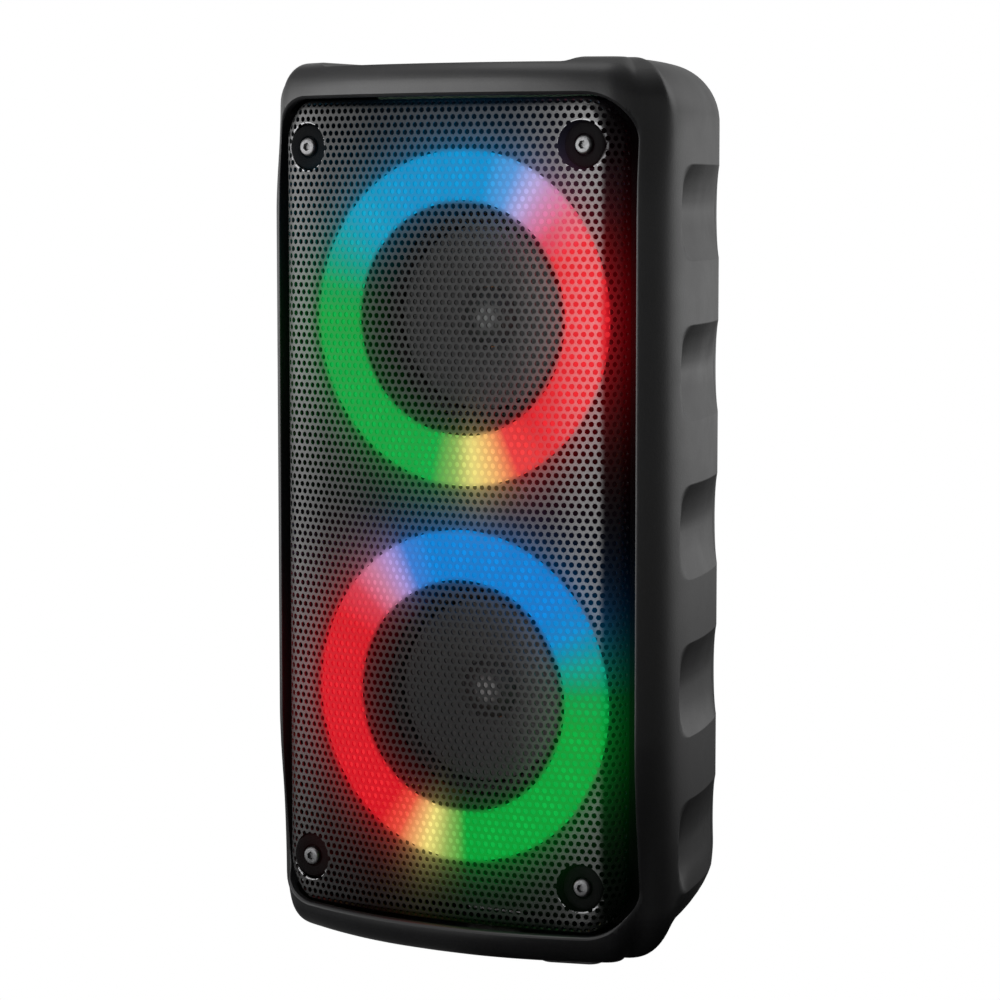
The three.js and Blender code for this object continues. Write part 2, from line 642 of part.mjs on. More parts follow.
// points are [x, depth behind the screw plane, z]
const CABLES = [
  {
    name: "speaker_cable_lower",
    radius: 1.2,
    points: [[-20, 85.4, 98], [-30, 78, 104], [-31, 60, 92], [-27.4, 46, 86]],
  },
  {
    name: "speaker_cable_upper",
    radius: 1.2,
    points: [[20, 85.2, 98], [28, 76, 130], [30, 62, 180], [27.4, 46, 207]],
  },
  {
    name: "battery_cable",
    radius: 1.1,
    points: [[14, 85.6, 46], [20, 78, 42], [22, 68, 38], [22, 62, 28.4]],
  },
  {
    name: "key_cable",
    radius: 1.1,
    points: [[-10, 40, 279.6], [-16, 60, 262], [-26, 76, 170], [-14, 85.2, 101]],
  },
];

// ---------------------------------------------------------------- materials
const LIT_RING = { color: 0xe8e8f2, roughness: 0.4, emissiveIntensity: 0.6 };
const MATERIALS = {
  shell: { color: 0x232324, roughness: 0.5 },
  grille: { color: 0x1c1d1e, roughness: 0.42, metalness: 0.6 },
  screw: { color: 0xb9bcc0, roughness: 0.28, metalness: 1 },
  baffle: { color: 0x0e0e0f, roughness: 0.75 },
  ringUpper: { ...LIT_RING, emissive: 0x1a8fd0 }, // blue glow
  ringLower: { ...LIT_RING, emissive: 0x19b04a }, // green glow
  board: { color: 0x14502c, roughness: 0.5 },
  steel: { color: 0x7b7e82, roughness: 0.4, metalness: 1 },
  magnet: { color: 0x26262a, roughness: 0.6, metalness: 0.5 },
  rubber: { color: 0x0b0b0b, roughness: 0.85 },
  cone: { color: 0x2b2b2c, roughness: 0.8 },
  cap: { color: 0x3a3a3c, roughness: 0.55 },
  coil: { color: 0xb4672c, roughness: 0.4, metalness: 0.9 },
  spider: { color: 0xb58a3a, roughness: 0.9 },
  gloss: { color: 0x0c0c0d, roughness: 0.15 },
  button: { color: 0x2a2b2d, roughness: 0.55 },
  lens: { color: 0xdfe8f0, roughness: 0.2 },
  socket: { color: 0x9a9da1, roughness: 0.3, metalness: 1 },
  battery: { color: 0x1f5fa8, roughness: 0.45 },
  cable: { color: 0x8c1a1a, roughness: 0.6 },
};

// ---------------------------------------------------------------- assembly
const speaker = new THREE.Group();
function add(name, body, material) {
  const surface = new THREE.MeshStandardMaterial(MATERIALS[material]);
  const mesh = new THREE.Mesh(geometry(body), surface);
  mesh.name = name;
  speaker.add(mesh);
}

add("cabinet_front_shell", frontShell(), "shell");
add("cabinet_rear_cover", rearCover(), "shell");
add("front_grille", grillePlate(), "grille");
for (const place of FRONT_SCREWS) add(`front_screw_${place.name}`, frontScrew(place), "screw");
add("front_baffle", bafflePlate(), "baffle");
for (const { name, z, glow } of DRIVERS) {
  add(`light_ring_${name}`, diffuser(z), glow);
  add(`led_board_${name}`, ledBoard(z), "board");
  add(`driver_basket_${name}`, basket(z), "steel");
  add(`driver_magnet_${name}`, driverPart(MAGNET, z), "magnet");
  add(`driver_surround_${name}`, driverPart(surroundProfile(), z, 24), "rubber");
  add(`driver_spider_${name}`, driverPart(SPIDER, z), "spider");
  add(`driver_cone_${name}`, driverPart(CONE, z, 28), "cone");
  add(`dust_cap_${name}`, driverPart(DUST_CAP, z), "cap");
  add(`voice_coil_${name}`, driverPart(VOICE_COIL, z), "coil");
}
add("control_panel", controlPanel(), "gloss");
for (const item of BUTTONS) add(`button_${item.name}`, button(item), "button");
add("status_light", statusLight(), "lens");
add("key_board", keyBoard(), "board");
add("socket_panel", socketPanel(), "gloss");
add("main_board", mainBoard(), "board");
add("usb_a_socket", usbASocket(), "socket");
add("usb_c_socket", usbCSocket(), "socket");
add("line_in_jack", jack(LINE_IN), "socket");
add("microphone_jack", jack(MICROPHONE), "socket");
add("power_switch", switchSlider(), "button");
add("bass_port_tube", portTube(), "baffle");
add("battery_pack", batteryPack(), "battery");
add("battery_strap", batteryStrap(), "steel");
for (const place of REAR_SCREWS) add(`rear_screw_${place.name}`, rearScrew(place), "steel");
for (const place of FEET) add(`foot_${place.name}`, foot(place), "rubber");
for (const { name, radius, points } of CABLES) add(name, cable(points, radius), "cable");

export default speaker;
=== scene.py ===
"""Looks of an upright two-driver loudspeaker with a lit ring round each driver.

The cabinet stands on z = 0 with its front toward -Y, its right side (seen from the front)
toward +X, and is mirrored about x = 0. Lengths are millimetres in that frame and meshes are
written in metres; shader positions, lights and the camera are in metres.
"""

import math

import bpy
import numpy as np
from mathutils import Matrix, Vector


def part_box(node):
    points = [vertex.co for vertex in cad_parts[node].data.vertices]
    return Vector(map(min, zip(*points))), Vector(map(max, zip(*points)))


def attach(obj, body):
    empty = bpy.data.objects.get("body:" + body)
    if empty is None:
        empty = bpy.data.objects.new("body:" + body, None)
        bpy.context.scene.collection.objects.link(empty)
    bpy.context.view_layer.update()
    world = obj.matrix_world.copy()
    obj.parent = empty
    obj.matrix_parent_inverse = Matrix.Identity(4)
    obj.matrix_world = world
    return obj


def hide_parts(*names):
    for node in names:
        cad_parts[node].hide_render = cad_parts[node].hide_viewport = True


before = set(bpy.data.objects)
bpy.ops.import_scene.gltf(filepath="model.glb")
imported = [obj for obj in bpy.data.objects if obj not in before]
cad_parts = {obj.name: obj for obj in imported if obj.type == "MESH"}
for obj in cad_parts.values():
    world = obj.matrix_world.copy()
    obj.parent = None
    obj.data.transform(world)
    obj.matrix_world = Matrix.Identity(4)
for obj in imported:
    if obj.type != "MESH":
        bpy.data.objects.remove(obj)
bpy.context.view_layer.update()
scene = bpy.context.scene

# ---------------------------------------------------------------- places taken from the frame
XZ = [0, 2]  # picks x and z out of a point
DRIVERS = ("lower", "upper")
CORNERS = ("bottom_left", "bottom_right", "top_left", "top_right")


def node_box(node):
    low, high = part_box(node)
    return np.array(low) * 1000.0, np.array(high) * 1000.0


def centre(node):
    low, high = node_box(node)
    return (low + high) / 2


SHELL_LO, SHELL_HI = node_box("cabinet_front_shell")
Z_TOP, Z_BOT = SHELL_HI[2], SHELL_LO[2]
FRONT_BULGE = 9.5  # how far the front stands out before the screw heads
DEPTH = 104.0  # screw heads to back face
SCREW_Y = SHELL_LO[1] + FRONT_BULGE  # plane of the front screw heads
BACK_Y = SCREW_Y + DEPTH
SEAM_GAP = 0.4  # between front shell and rear cover
SEAM_Y = SHELL_HI[1] + SEAM_GAP / 2
FIT_GAP = 0.35  # between a plate and the opening it sits in

SCREWS = {k: centre("front_screw_" + k) for k in CORNERS}
REAR_SCREWS = {k: centre("rear_screw_" + k) for k in CORNERS}
POST_R = 7.3  # posts round the front screws, which show through the grille

RING_Z = {k: centre("light_ring_" + k)[2] for k in DRIVERS}
RING_BOX = node_box("light_ring_upper")
RING_Y = RING_BOX[0][1]
RING_OUT = (RING_BOX[1][0] - RING_BOX[0][0]) / 2
RING_IN = 38.6
BAFFLE_Y = SCREW_Y + 17.4
FLANGE_Y = node_box("driver_basket_upper")[0][1]

PANEL_LO, PANEL_HI = node_box("control_panel")
PANEL_FLANGE = 3.0
SOCKET_LO, SOCKET_HI = node_box("socket_panel")
SOCKET_FLANGE = 2.0
PORT_Z = centre("bass_port_tube")[2]
PORT_R = 13.0

# ---------------------------------------------------------------- mesh helpers


def volume(verts, faces):
    total = 0.0
    for face in faces:
        first = verts[face[0]]
        for i in range(1, len(face) - 1):
            total += np.dot(first, np.cross(verts[face[i]], verts[face[i + 1]]))
    return total / 6


def make_mesh(verts, faces, orient=True):
    """Mesh from millimetre vertices; orient turns the faces outward."""
    verts = np.asarray(verts, float)
    if orient and volume(verts, faces) < 0:
        faces = [tuple(reversed(face)) for face in faces]
    mesh = bpy.data.meshes.new("piece")
    mesh.from_pydata((verts / 1000.0).tolist(), [], faces)
    mesh.validate()
    mesh.update()
    return mesh


def add_object(name, data):
    obj = bpy.data.objects.new(name, data)
    scene.collection.objects.link(obj)
    return obj


placed = {}  # object by the CAD node it replaces


def place(node, name, mesh, angle=30):
    """Smooth a finished mesh, with edges above the angle kept sharp, and add it to the scene."""
    mesh.shade_smooth()
    mesh.set_sharp_from_angle(angle=math.radians(angle))
    placed[node] = add_object(name, mesh)


def boolean(a, b, operation):
    body, tool = add_object("body", a), add_object("tool", b)
    modifier = body.modifiers.new("boolean", "BOOLEAN")
    modifier.operation, modifier.object = operation, tool
    modifier.solver = "MANIFOLD"
    bpy.context.view_layer.update()
    evaluated = body.evaluated_get(bpy.context.evaluated_depsgraph_get())
    result = bpy.data.meshes.new_from_object(evaluated)
    bpy.data.objects.remove(body)
    bpy.data.objects.remove(tool)
    if len(result.polygons) == 0:
        raise RuntimeError("a cut left nothing")
    return result


def cut(a, b):
    return boolean(a, b, "DIFFERENCE")


def join(a, b):
    return boolean(a, b, "UNION")


def keep(a, b):
    return boolean(a, b, "INTERSECT")


def loft(sections):
    """Closed surface through sections of equal count, capped at both ends."""
    sections = np.asarray(sections, float)
    count, n = sections.shape[:2]
    faces = []
    for k in range(count - 1):
        a, b = k * n, (k + 1) * n
        for i in range(n):
            j = (i + 1) % n
            faces.append((a + i, a + j, b + j, b + i))
    faces.append(tuple(reversed(range(n))))
    faces.append(tuple(range((count - 1) * n, count * n)))
    return make_mesh(sections.reshape(-1, 3), faces)


def lathe(profile, cx, cross, seg=96, base=0.0, upright=False):
    """Turn a profile of (radius, distance from base) about an axis along Y, or Z if upright.

    The axis passes through x = cx and z = cross (y = cross if upright). The profile starts
    and ends on the axis or closes on itself.
    """
    profile = np.asarray(profile, float) + [0, base]
    verts, rows = [], []
    for r, along in profile:
        if r < 1e-9:
            rows.append([len(verts)] * seg)
            verts.append((0, along, 0))
        else:
            rows.append(list(range(len(verts), len(verts) + seg)))
            for i in range(seg):
                a = 2 * math.pi * i / seg
                verts.append((r * math.cos(a), along, r * math.sin(a)))
    on_axis = profile[0, 0] < 1e-9 and profile[-1, 0] < 1e-9
    count = len(profile)
    faces = []
    for k in range(count - 1 if on_axis else count):
        this, following = rows[k], rows[(k + 1) % count]
        for i in range(seg):
            j = (i + 1) % seg
            face = []
            for corner in (this[i], this[j], following[j], following[i]):
                if corner not in face:
                    face.append(corner)
            if len(face) > 2:
                faces.append(tuple(face))
    verts = np.array(verts, float)
    if upright:
        verts = np.c_[verts[:, 0] + cx, verts[:, 2] + cross, verts[:, 1]]
    else:
        verts = verts + [cx, 0, cross]
    return make_mesh(verts, faces)


def rounded_rect(x0, y0, x1, y1, r, n=8):
    """Outline with n steps in each corner."""
    r = min(r, (x1 - x0) / 2 - 1e-3, (y1 - y0) / 2 - 1e-3)
    corners = (
        (x1 - r, y0 + r, -90), (x1 - r, y1 - r, 0), (x0 + r, y1 - r, 90), (x0 + r, y0 + r, 180),
    )
    points = []
    for cx, cy, start in corners:
        for i in range(n + 1):
            a = math.radians(start + 90 * i / n)
            points.append((cx + r * math.cos(a), cy + r * math.sin(a)))
    return np.array(points)


def at_y(outline, y):
    outline = np.asarray(outline, float)
    return np.c_[outline[:, 0], np.full(len(outline), y), outline[:, 1]]


def at_z(outline, z):
    outline = np.asarray(outline, float)
    return np.c_[outline, np.full(len(outline), z)]


def prism_y(outline, y0, y1):
    return loft([at_y(outline, y) for y in (y0, y1)])


def prism_z(outline, z0, z1):
    return loft([at_z(outline, z) for z in (z0, z1)])


def rectangle(x0, x1, y0, y1):
    return np.array([(x0, y0), (x1, y0), (x1, y1), (x0, y1)])


def box(x0, x1, y0, y1, z0, z1):
    return prism_z(rectangle(x0, x1, y0, y1), z0, z1)


def cylinder_y(r, y0, y1, cx, cz, seg=64):
    return lathe([(0, y0), (r, y0), (r, y1), (0, y1)], cx, cz, seg)


def stacked_y(lo, hi, stages, n, base=0.0):
    """Rounded rectangle between (x, z) corners; stages of (outset, corner radius, y from base)."""
    return loft([
        at_y(rounded_rect(lo[0] - e, lo[1] - e, hi[0] + e, hi[1] + e, r, n), base + y)
        for e, r, y in stages
    ])


def rounded_y(lo, hi, radius, stages, n=10, base=0.0):
    """As stacked_y, with stages of (outset, y) and the corner radius following the outset."""
    return stacked_y(lo, hi, [(e, radius + e, y) for e, y in stages], n, base)


def rounded_z(lo, hi, radius, stages, n=12):
    """Rounded rectangle between (x, y) corners, through stages of (outset, z)."""
    return loft([
        at_z(rounded_rect(lo[0] - e, lo[1] - e, hi[0] + e, hi[1] + e, max(radius + e, 0.2), n), z)
        for e, z in stages
    ])


# ---------------------------------------------------------------- cabinet surface
# Right half of the widest section: x, and y behind the screw-head plane, front to back.
HALF_OUTLINE = np.array([
    [0, -FRONT_BULGE], [16, -8.67], [32, -6.2], [46, -2.67], [57, 1.0], [64.2, 3.95],
    [69.0, 7.7], [72.2, 13.2], [73.8, 21.0], [73.5, 32.0], [70.9, 47.0], [66.4, 63.5],
    [60.6, 80.0], [56.2, 88.0], [50.0, 95.3], [42.5, 100.4], [35.0, 103.0], [27.0, DEPTH],
])
SCOOP_Z = [37.6, 89.2, 140.9, 192.5, 244.1]  # centres of the hollows down each side
SCOOP_HALF, SCOOP_DEPTH = 15.4, 2.8
WALL_SIDE, WALL = 5.4, 2.6  # wall at the sides; at the front and back


def spline(points, steps):
    """Centripetal Catmull-Rom curve through the points."""
    ext = np.vstack([2 * points[0] - points[1], points, 2 * points[-1] - points[-2]])
    out = []
    for i in range(len(points) - 1):
        p0, p1, p2, p3 = ext[i : i + 4]
        d0, d1, d2 = (np.linalg.norm(b - a) ** 0.5 for a, b in ((p0, p1), (p1, p2), (p2, p3)))
        t1 = ((p1 - p0) / d0 - (p2 - p0) / (d0 + d1) + (p2 - p1) / d1) * d1
        t2 = ((p2 - p1) / d1 - (p3 - p1) / (d1 + d2) + (p3 - p2) / d2) * d1
        c2, c3 = -3 * p1 + 3 * p2 - 2 * t1 - t2, 2 * p1 - 2 * p2 + t1 + t2
        for k in range(steps):
            t = k / steps
            out.append(p1 + t1 * t + c2 * t * t + c3 * t**3)
    return np.vstack([out, points[-1]])


def arc_length(curve):
    return np.r_[0, np.cumsum(np.linalg.norm(np.diff(curve, axis=0), axis=1))]


def sample(s, along, points):
    """Two-column points interpolated at distances s."""
    return np.c_[np.interp(s, along, points[:, 0]), np.interp(s, along, points[:, 1])]


def mirrored(half):
    return np.vstack([half, (half[1:-1] * [-1, 1])[::-1]])


def dense_section():
    """Smoothed right half of the section: points, outward normals and distances along it."""
    spacing, blur = 0.25, 9.0  # blur is in samples
    curve = np.vstack([spline(HALF_OUTLINE, 40), [0, DEPTH]])
    along = arc_length(curve)
    s = np.linspace(0, along[-1], int(round(along[-1] / spacing)) + 1)
    loop = mirrored(sample(s, along, curve))
    gauss = np.exp(-2 * (np.pi * np.fft.fftfreq(len(loop)) * blur) ** 2)
    loop = np.real(np.fft.ifft(np.fft.fft(loop, axis=0) * gauss[:, None], axis=0))
    tangent = np.roll(loop, -1, 0) - np.roll(loop, 1, 0)
    tangent /= np.linalg.norm(tangent, axis=1, keepdims=True)
    normals = np.c_[tangent[:, 1], -tangent[:, 0]]
    return loop[: len(s)], normals[: len(s)], s


DENSE_P, DENSE_N, DENSE_S = dense_section()


def smoothstep(t):
    c = np.clip(t, 0, 1)
    return c * c * (3 - 2 * c)


def edge_arc(d, r):
    """Inset of a rounded edge of radius r at distance d from the end face."""
    return np.where(d >= r, 0, r - np.sqrt(np.maximum(0, r * r - (r - d) ** 2)))


def inset(z, normals):
    """How far the surface at height z lies inside the widest section."""
    facing = np.degrees(np.arctan2(normals[:, 1], np.abs(normals[:, 0])))  # -90 front, 90 back
    front = 1 - smoothstep((facing + 85) / 46)
    corner = 1 - smoothstep((facing + 34) / 30)
    from_top, from_bottom = max(0.0, Z_TOP - z), max(0.0, z - Z_BOT)
    taper = 2.0 * smoothstep((50 - from_top) / 42) + 3.3 * smoothstep((75 - from_bottom) / 66)
    top_r = 13 + 6.5 * smoothstep((facing + 14) / 12)
    bottom_r = 15 + 13.5 * smoothstep((facing + 10) / 24)
    barrel = corner * (1 - front) * taper
    side = edge_arc(from_top, top_r) + edge_arc(from_bottom, bottom_r) + barrel
    return side * (1 - front) + (edge_arc(from_top, 7.0) + edge_arc(from_bottom, 8.0)) * front


def scoop(z, y, normal_x):
    """Depth of the side hollows at height z."""
    depth = np.zeros(len(y))
    for middle in SCOOP_Z:
        t = (z - middle) / SCOOP_HALF
        if abs(t) >= 1:
            continue
        start = 25.4 + 2.6 * t * t + 4.4 * abs(t) ** 8
        fade = smoothstep((y - start) / 4.2) * (1 - smoothstep((y - 68) / 26))
        depth = SCOOP_DEPTH * (1 - t * t) * fade
    return np.where(normal_x > 0.3, depth, 0)


def crossing(a, b, c, d):
    """Where segments ab and cd cross, or None."""
    r, q = b - a, d - c
    den = r[0] * q[1] - r[1] * q[0]
    if abs(den) < 1e-12:
        return None
    t = ((c[0] - a[0]) * q[1] - (c[1] - a[1]) * q[0]) / den
    u = ((c[0] - a[0]) * r[1] - (c[1] - a[1]) * r[0]) / den
    return a + r * t if 0 <= t <= 1 and 0 <= u <= 1 else None


def find_loop(curve, low, high):
    """Closest pair of segments round low..high that cross: their indices and the crossing."""
    for span in range(30):
        start, end = max(1, low - span), min(len(curve) - 2, high + span)
        for i in range(start, low + 1):
            for j in range(high, end + 1):
                if j - i < 2 or (i != start and j != end):
                    continue
                point = crossing(curve[i], curve[i + 1], curve[j], curve[j + 1])
                if point is not None:
                    return i, j, point
    return None


def unfold(curve, original):
    """Cut off the small loop that forms where the inset exceeds the corner's own radius."""
    step, before = np.diff(curve, axis=0), np.diff(original, axis=0)
    forward = np.sum(step * before, axis=1)
    folded = np.where(forward <= 1e-3 * np.sum(before * before, axis=1))[0]
    if not len(folded):
        return curve
    curve = curve.copy()
    low, high = folded[0], folded[-1]
    loop = find_loop(curve, low, high)
    if loop:
        i, j, point = loop
        start, end = max(0, i - 1), min(len(curve) - 1, j + 2)
        path = np.vstack([curve[start : i + 1], point, curve[j + 1 : end + 1]])
    else:
        start, end = max(0, low - 1), min(len(curve) - 1, high + 2)
        path = np.vstack([curve[start], curve[end]])
    along = arc_length(path)
    curve[start : end + 1] = sample(np.linspace(0, along[-1], end - start + 1), along, path)
    return curve


def ring(z, points, normals, extra=0.0, scoops=False):
    """Closed section at height z, anticlockwise from above."""
    depth = inset(z, normals) + extra
    if scoops:
        depth = depth + scoop(z, points[:, 1], normals[:, 0])
    half = points - normals * depth[:, None]
    half[0, 0] = half[-1, 0] = 0
    half[:, 0] = np.maximum(half[:, 0], 0)
    full = mirrored(unfold(half, points))
    return np.c_[full[:, 0], full[:, 1] + SCREW_Y, np.full(len(full), z)]


def stations(steps):
    """Points and normals round the half section; steps of (up to this distance, spacing)."""
    s, end, out = 0.0, DENSE_S[-1], [0.0]
    while s < end - 1e-6:
        s = min(end, s + next(spacing for limit, spacing in steps if s < limit))
        out.append(s)
    if out[-1] - out[-2] < 0.4:
        out.pop(-2)
    normals = sample(out, DENSE_S, DENSE_N)
    normals /= np.linalg.norm(normals, axis=1, keepdims=True)
    return sample(out, DENSE_S, DENSE_P), normals


FINE = stations([(56, 2.6), (92, 1.0), (148, 1.5), (194, 1.8), (math.inf, 6.0)])
COARSE = stations([(56, 8.0), (92, 3.5), (148, 7.0), (194, 5.0), (math.inf, 12.0)])

# Heights of the outer sections: distances below the top and above the bottom.
TOP_STEPS = [
    0, 0.03, 0.1, 0.22, 0.4, 0.62, 0.9, 1.25, 1.65, 2.1, 2.65, 3.3, 4.0, 4.8, 5.8, 7, 8.3, 9.8,
    11.5, 13.5, 15.8, 18.5, 22, 26, 31, 37, 43, 50,
]
BOTTOM_STEPS = [
    0, 0.03, 0.1, 0.22, 0.4, 0.65, 1.0, 1.4, 1.9, 2.5, 3.2, 4.0, 5.0, 6.2, 7.6, 9.2, 11, 13,
    15.4, 18, 20.6, 24, 28.5,
]


def outer_levels():
    levels = [Z_TOP - t for t in TOP_STEPS if Z_TOP - t > 259.6]
    levels += [Z_BOT + t for t in BOTTOM_STEPS if Z_BOT + t < 22.0]
    for z in SCOOP_Z:
        levels += [z + SCOOP_HALF * math.sin(math.pi / 2 * t) for t in np.linspace(-1, 1, 25)]
        for beyond in (0.35, 2.5):
            levels += [z - SCOOP_HALF - beyond, z + SCOOP_HALF + beyond]
        levels.append(z + SCOOP_HALF + 10.5)
    levels = sorted(v for v in levels if Z_BOT - 1e-9 <= v <= Z_TOP + 1e-9)
    kept = [levels[0]]
    for v in levels[1:]:
        near_end = v > Z_TOP - 0.2 or v < Z_BOT + 0.2
        if v - kept[-1] > (1e-6 if near_end else 0.09):
            kept.append(v)
    return kept


def inner_ring(z):
    points, normals = COARSE
    facing_y = normals[:, 1]
    wall = np.where(facing_y < -0.85, WALL, np.where(facing_y > 0.93, WALL, WALL_SIDE))
    return ring(z, points, normals, extra=wall)


def top_recess():
    """Cutter for the lowered top surface between the two shoulders."""
    depth = 1.6
    left = [  # x, z from the top
        (-50.2, 1.2), (-49.6, 0.02), (-48.6, -0.12), (-47.4, -0.5), (-46.2, -1.1),
        (-45.0, -1.48), (-43.6, -depth),
    ]
    left = [(x, Z_TOP + z) for x, z in left]
    return prism_y(left + [(-x, z) for x, z in reversed(left)], -90, 90)


outer = loft([ring(z, *FINE, scoops=True) for z in outer_levels()])
PLAIN_LEVELS = (Z_BOT + 0.3, 4, 7, 12, 20, 31, 60, 240, 262, 276, 284, 289, 291.6)
INNER_LEVELS = (5.0, 7, 10, 14, 20, 27, 34, 60, 240, 262, 270, 278, 284, 287.5, 289.1)
# a coarse body just inside the surface, which trims the blocks joined to the walls
outer_plain = loft([ring(z, *COARSE, extra=0.25) for z in PLAIN_LEVELS])
inner = loft([inner_ring(z) for z in INNER_LEVELS])
shell = cut(cut(outer, inner), top_recess())

# ---------------------------------------------------------------- front shell
OPEN_HALF, OPEN_Z, OPEN_R = 67.2, (12.0, 281.2), 15.0  # grille opening
LIP = 1.25  # radius of the rounded lip round the opening
FOOT_TURN = {"front_left": -15.5, "front_right": 15.5, "rear_left": 0, "rear_right": 0}
FOOT_HALF = (10.5, 4.6)
FOOT_GAP = 0.3


def front_y(x, z):
    """y of the front surface at a place on it."""
    surface = DENSE_P - DENSE_N * inset(z, DENSE_N)[:, None]
    near = surface[surface[:, 1] < 40]
    return np.interp(abs(x), near[:, 0], near[:, 1]) + SCREW_Y


def opening_outline():
    """Points and outward normals round the grille opening, with extra points on straights."""
    base = rounded_rect(-OPEN_HALF, OPEN_Z[0], OPEN_HALF, OPEN_Z[1], OPEN_R, 20)
    points = []
    for i, a in enumerate(base):
        b = base[(i + 1) % len(base)]
        length = np.linalg.norm(b - a)
        # closer points across, so that the lip follows the curved front
        spacing = 3.0 if abs(b[0] - a[0]) > abs(b[1] - a[1]) else 12.0
        count = max(1, int(round(length / spacing))) if length > 4 else 1
        points += [a + (b - a) * j / count for j in range(count)]
    points = np.array(points)
    core = np.c_[
        np.clip(points[:, 0], -OPEN_HALF + OPEN_R, OPEN_HALF - OPEN_R),
        np.clip(points[:, 1], OPEN_Z[0] + OPEN_R, OPEN_Z[1] - OPEN_R),
    ]
    out = points - core
    return points, out / np.maximum(1e-9, np.linalg.norm(out, axis=1, keepdims=True))


def opening_cutter():
    points, normals = opening_outline()
    flare = LIP + 0.9
    profile = [(flare, -3.0), (LIP + 0.06, -0.15)]  # outset, depth behind the surface
    for k in range(1, 8):
        a = math.radians(90 * k / 7)
        profile.append((LIP * (1 - math.sin(a)), LIP * (1 - math.cos(a))))
    sections = [at_y(points + normals * flare, -120.0)]
    for outset, depth in profile:
        moved = points + normals * outset
        y = np.array([front_y(x, min(max(z, 3), Z_TOP - 1)) for x, z in moved])
        sections.append(np.c_[moved[:, 0], y + depth, moved[:, 1]])
    sections.append(at_y(points, SCREW_Y + 34.0))
    return loft(sections)


def screw_block(side, row):
    """Bored block behind the baffle that takes a front screw."""
    x, _, z = SCREWS[row + "_right"]
    x0, x1 = sorted((side * (x - 5), side * (x + 17.5)))
    block = box(x0, x1, BAFFLE_Y + 3.3, SCREW_Y + 32, z - 6, z + 6)
    block = cut(block, cylinder_y(1.6, SCREW_Y + 10, SCREW_Y + 30, side * x, z, 24))
    return keep(block, outer_plain)


def foot_outline(corner, outline):
    """An outline about the foot's own centre, turned and moved to its corner."""
    c = centre("foot_" + corner)
    w = math.radians(FOOT_TURN[corner])
    return np.array([
        (c[0] + math.cos(w) * p - math.sin(w) * q, c[1] + math.sin(w) * p + math.cos(w) * q)
        for p, q in outline
    ])


def front_shell():
    front = cut(shell, opening_cutter())
    for side in (-1, 1):
        for row in ("bottom", "top"):
            front = join(front, screw_block(side, row))
    panel_hole = [(0, 280), (0, 300)]
    lo, hi = PANEL_LO + PANEL_FLANGE, PANEL_HI - PANEL_FLANGE
    front = cut(front, rounded_z(lo, hi, 5, panel_hole, n=10))
    front = keep(front, box(-200, 200, -200, SEAM_Y - SEAM_GAP / 2, -10, 400))
    half_x, half_y = (half + FOOT_GAP for half in FOOT_HALF)
    for corner in FOOT_TURN:
        pocket = rounded_rect(-half_x, -half_y, half_x, half_y, half_y, 10)
        front = cut(front, prism_z(foot_outline(corner, pocket), 0, 3.5))
    return front


place("cabinet_front_shell", "front_shell_moulding", front_shell(), 24)

# ---------------------------------------------------------------- rear cover
GRIP_LO, GRIP_HI = np.array([-36.0, 238.0]), np.array([36.0, 262.0])  # x, z of the hand grip
GRIP_DEPTH = 15.0
# Cutter profiles, with y measured from the back face.
GRIP_STAGES = [  # outset, y
    (3.2, 3), (1.7, 0.05), (1.0, -0.35), (0.45, -0.95), (0.1, -1.7), (0, -2.6),
    (0, 3 - GRIP_DEPTH), (-0.9, 0.9 - GRIP_DEPTH), (-3, -GRIP_DEPTH),
]
SOCKET_STAGES = [(1.6, 2), (0.8, 0.02), (0.3, -0.3), (0, -0.9), (0, SEAM_Y + 2 - BACK_Y)]
PORT_HOLE = [  # radius, y
    (0, 2), (PORT_R + 6.6, 2), (PORT_R + 4.9, 0.02), (PORT_R + 4.2, -0.4), (PORT_R + 4.0, -1.0),
    (PORT_R + 4.0, SEAM_Y - BACK_Y), (0, SEAM_Y - BACK_Y),
]
REAR_SCREW_WELL = [
    (0, 2), (5.2, 2), (4.1, 0.02), (3.7, -0.35), (3.6, -0.8), (3.6, -8.0), (0, -8.0),
]


def rear_shell():
    rear = keep(shell, box(-200, 200, SEAM_Y + SEAM_GAP / 2, 200, -10, 400))
    block = rounded_rect(*(GRIP_LO - WALL), *(GRIP_HI + WALL), 9, 10)
    rear = join(rear, keep(prism_y(block, SEAM_Y + 4, 200), outer_plain))
    rear = cut(rear, rounded_y(GRIP_LO, GRIP_HI, 7, GRIP_STAGES, base=BACK_Y))
    lo, hi = SOCKET_LO[XZ] + SOCKET_FLANGE, SOCKET_HI[XZ] - SOCKET_FLANGE
    rear = cut(rear, rounded_y(lo, hi, 4, SOCKET_STAGES, base=BACK_Y))
    rear = cut(rear, lathe(PORT_HOLE, 0, PORT_Z, 96, BACK_Y))
    for x, _, z in REAR_SCREWS.values():
        rear = join(rear, keep(cylinder_y(5.6, SEAM_Y + 3, 200, x, z, 32), outer_plain))
    for x, _, z in REAR_SCREWS.values():
        rear = cut(rear, lathe(REAR_SCREW_WELL, x, z, 40, BACK_Y))
        rear = cut(rear, cylinder_y(1.9, SEAM_Y, 200, x, z, 24))
    return rear


place("cabinet_rear_cover", "rear_cover_moulding", rear_shell(), 24)

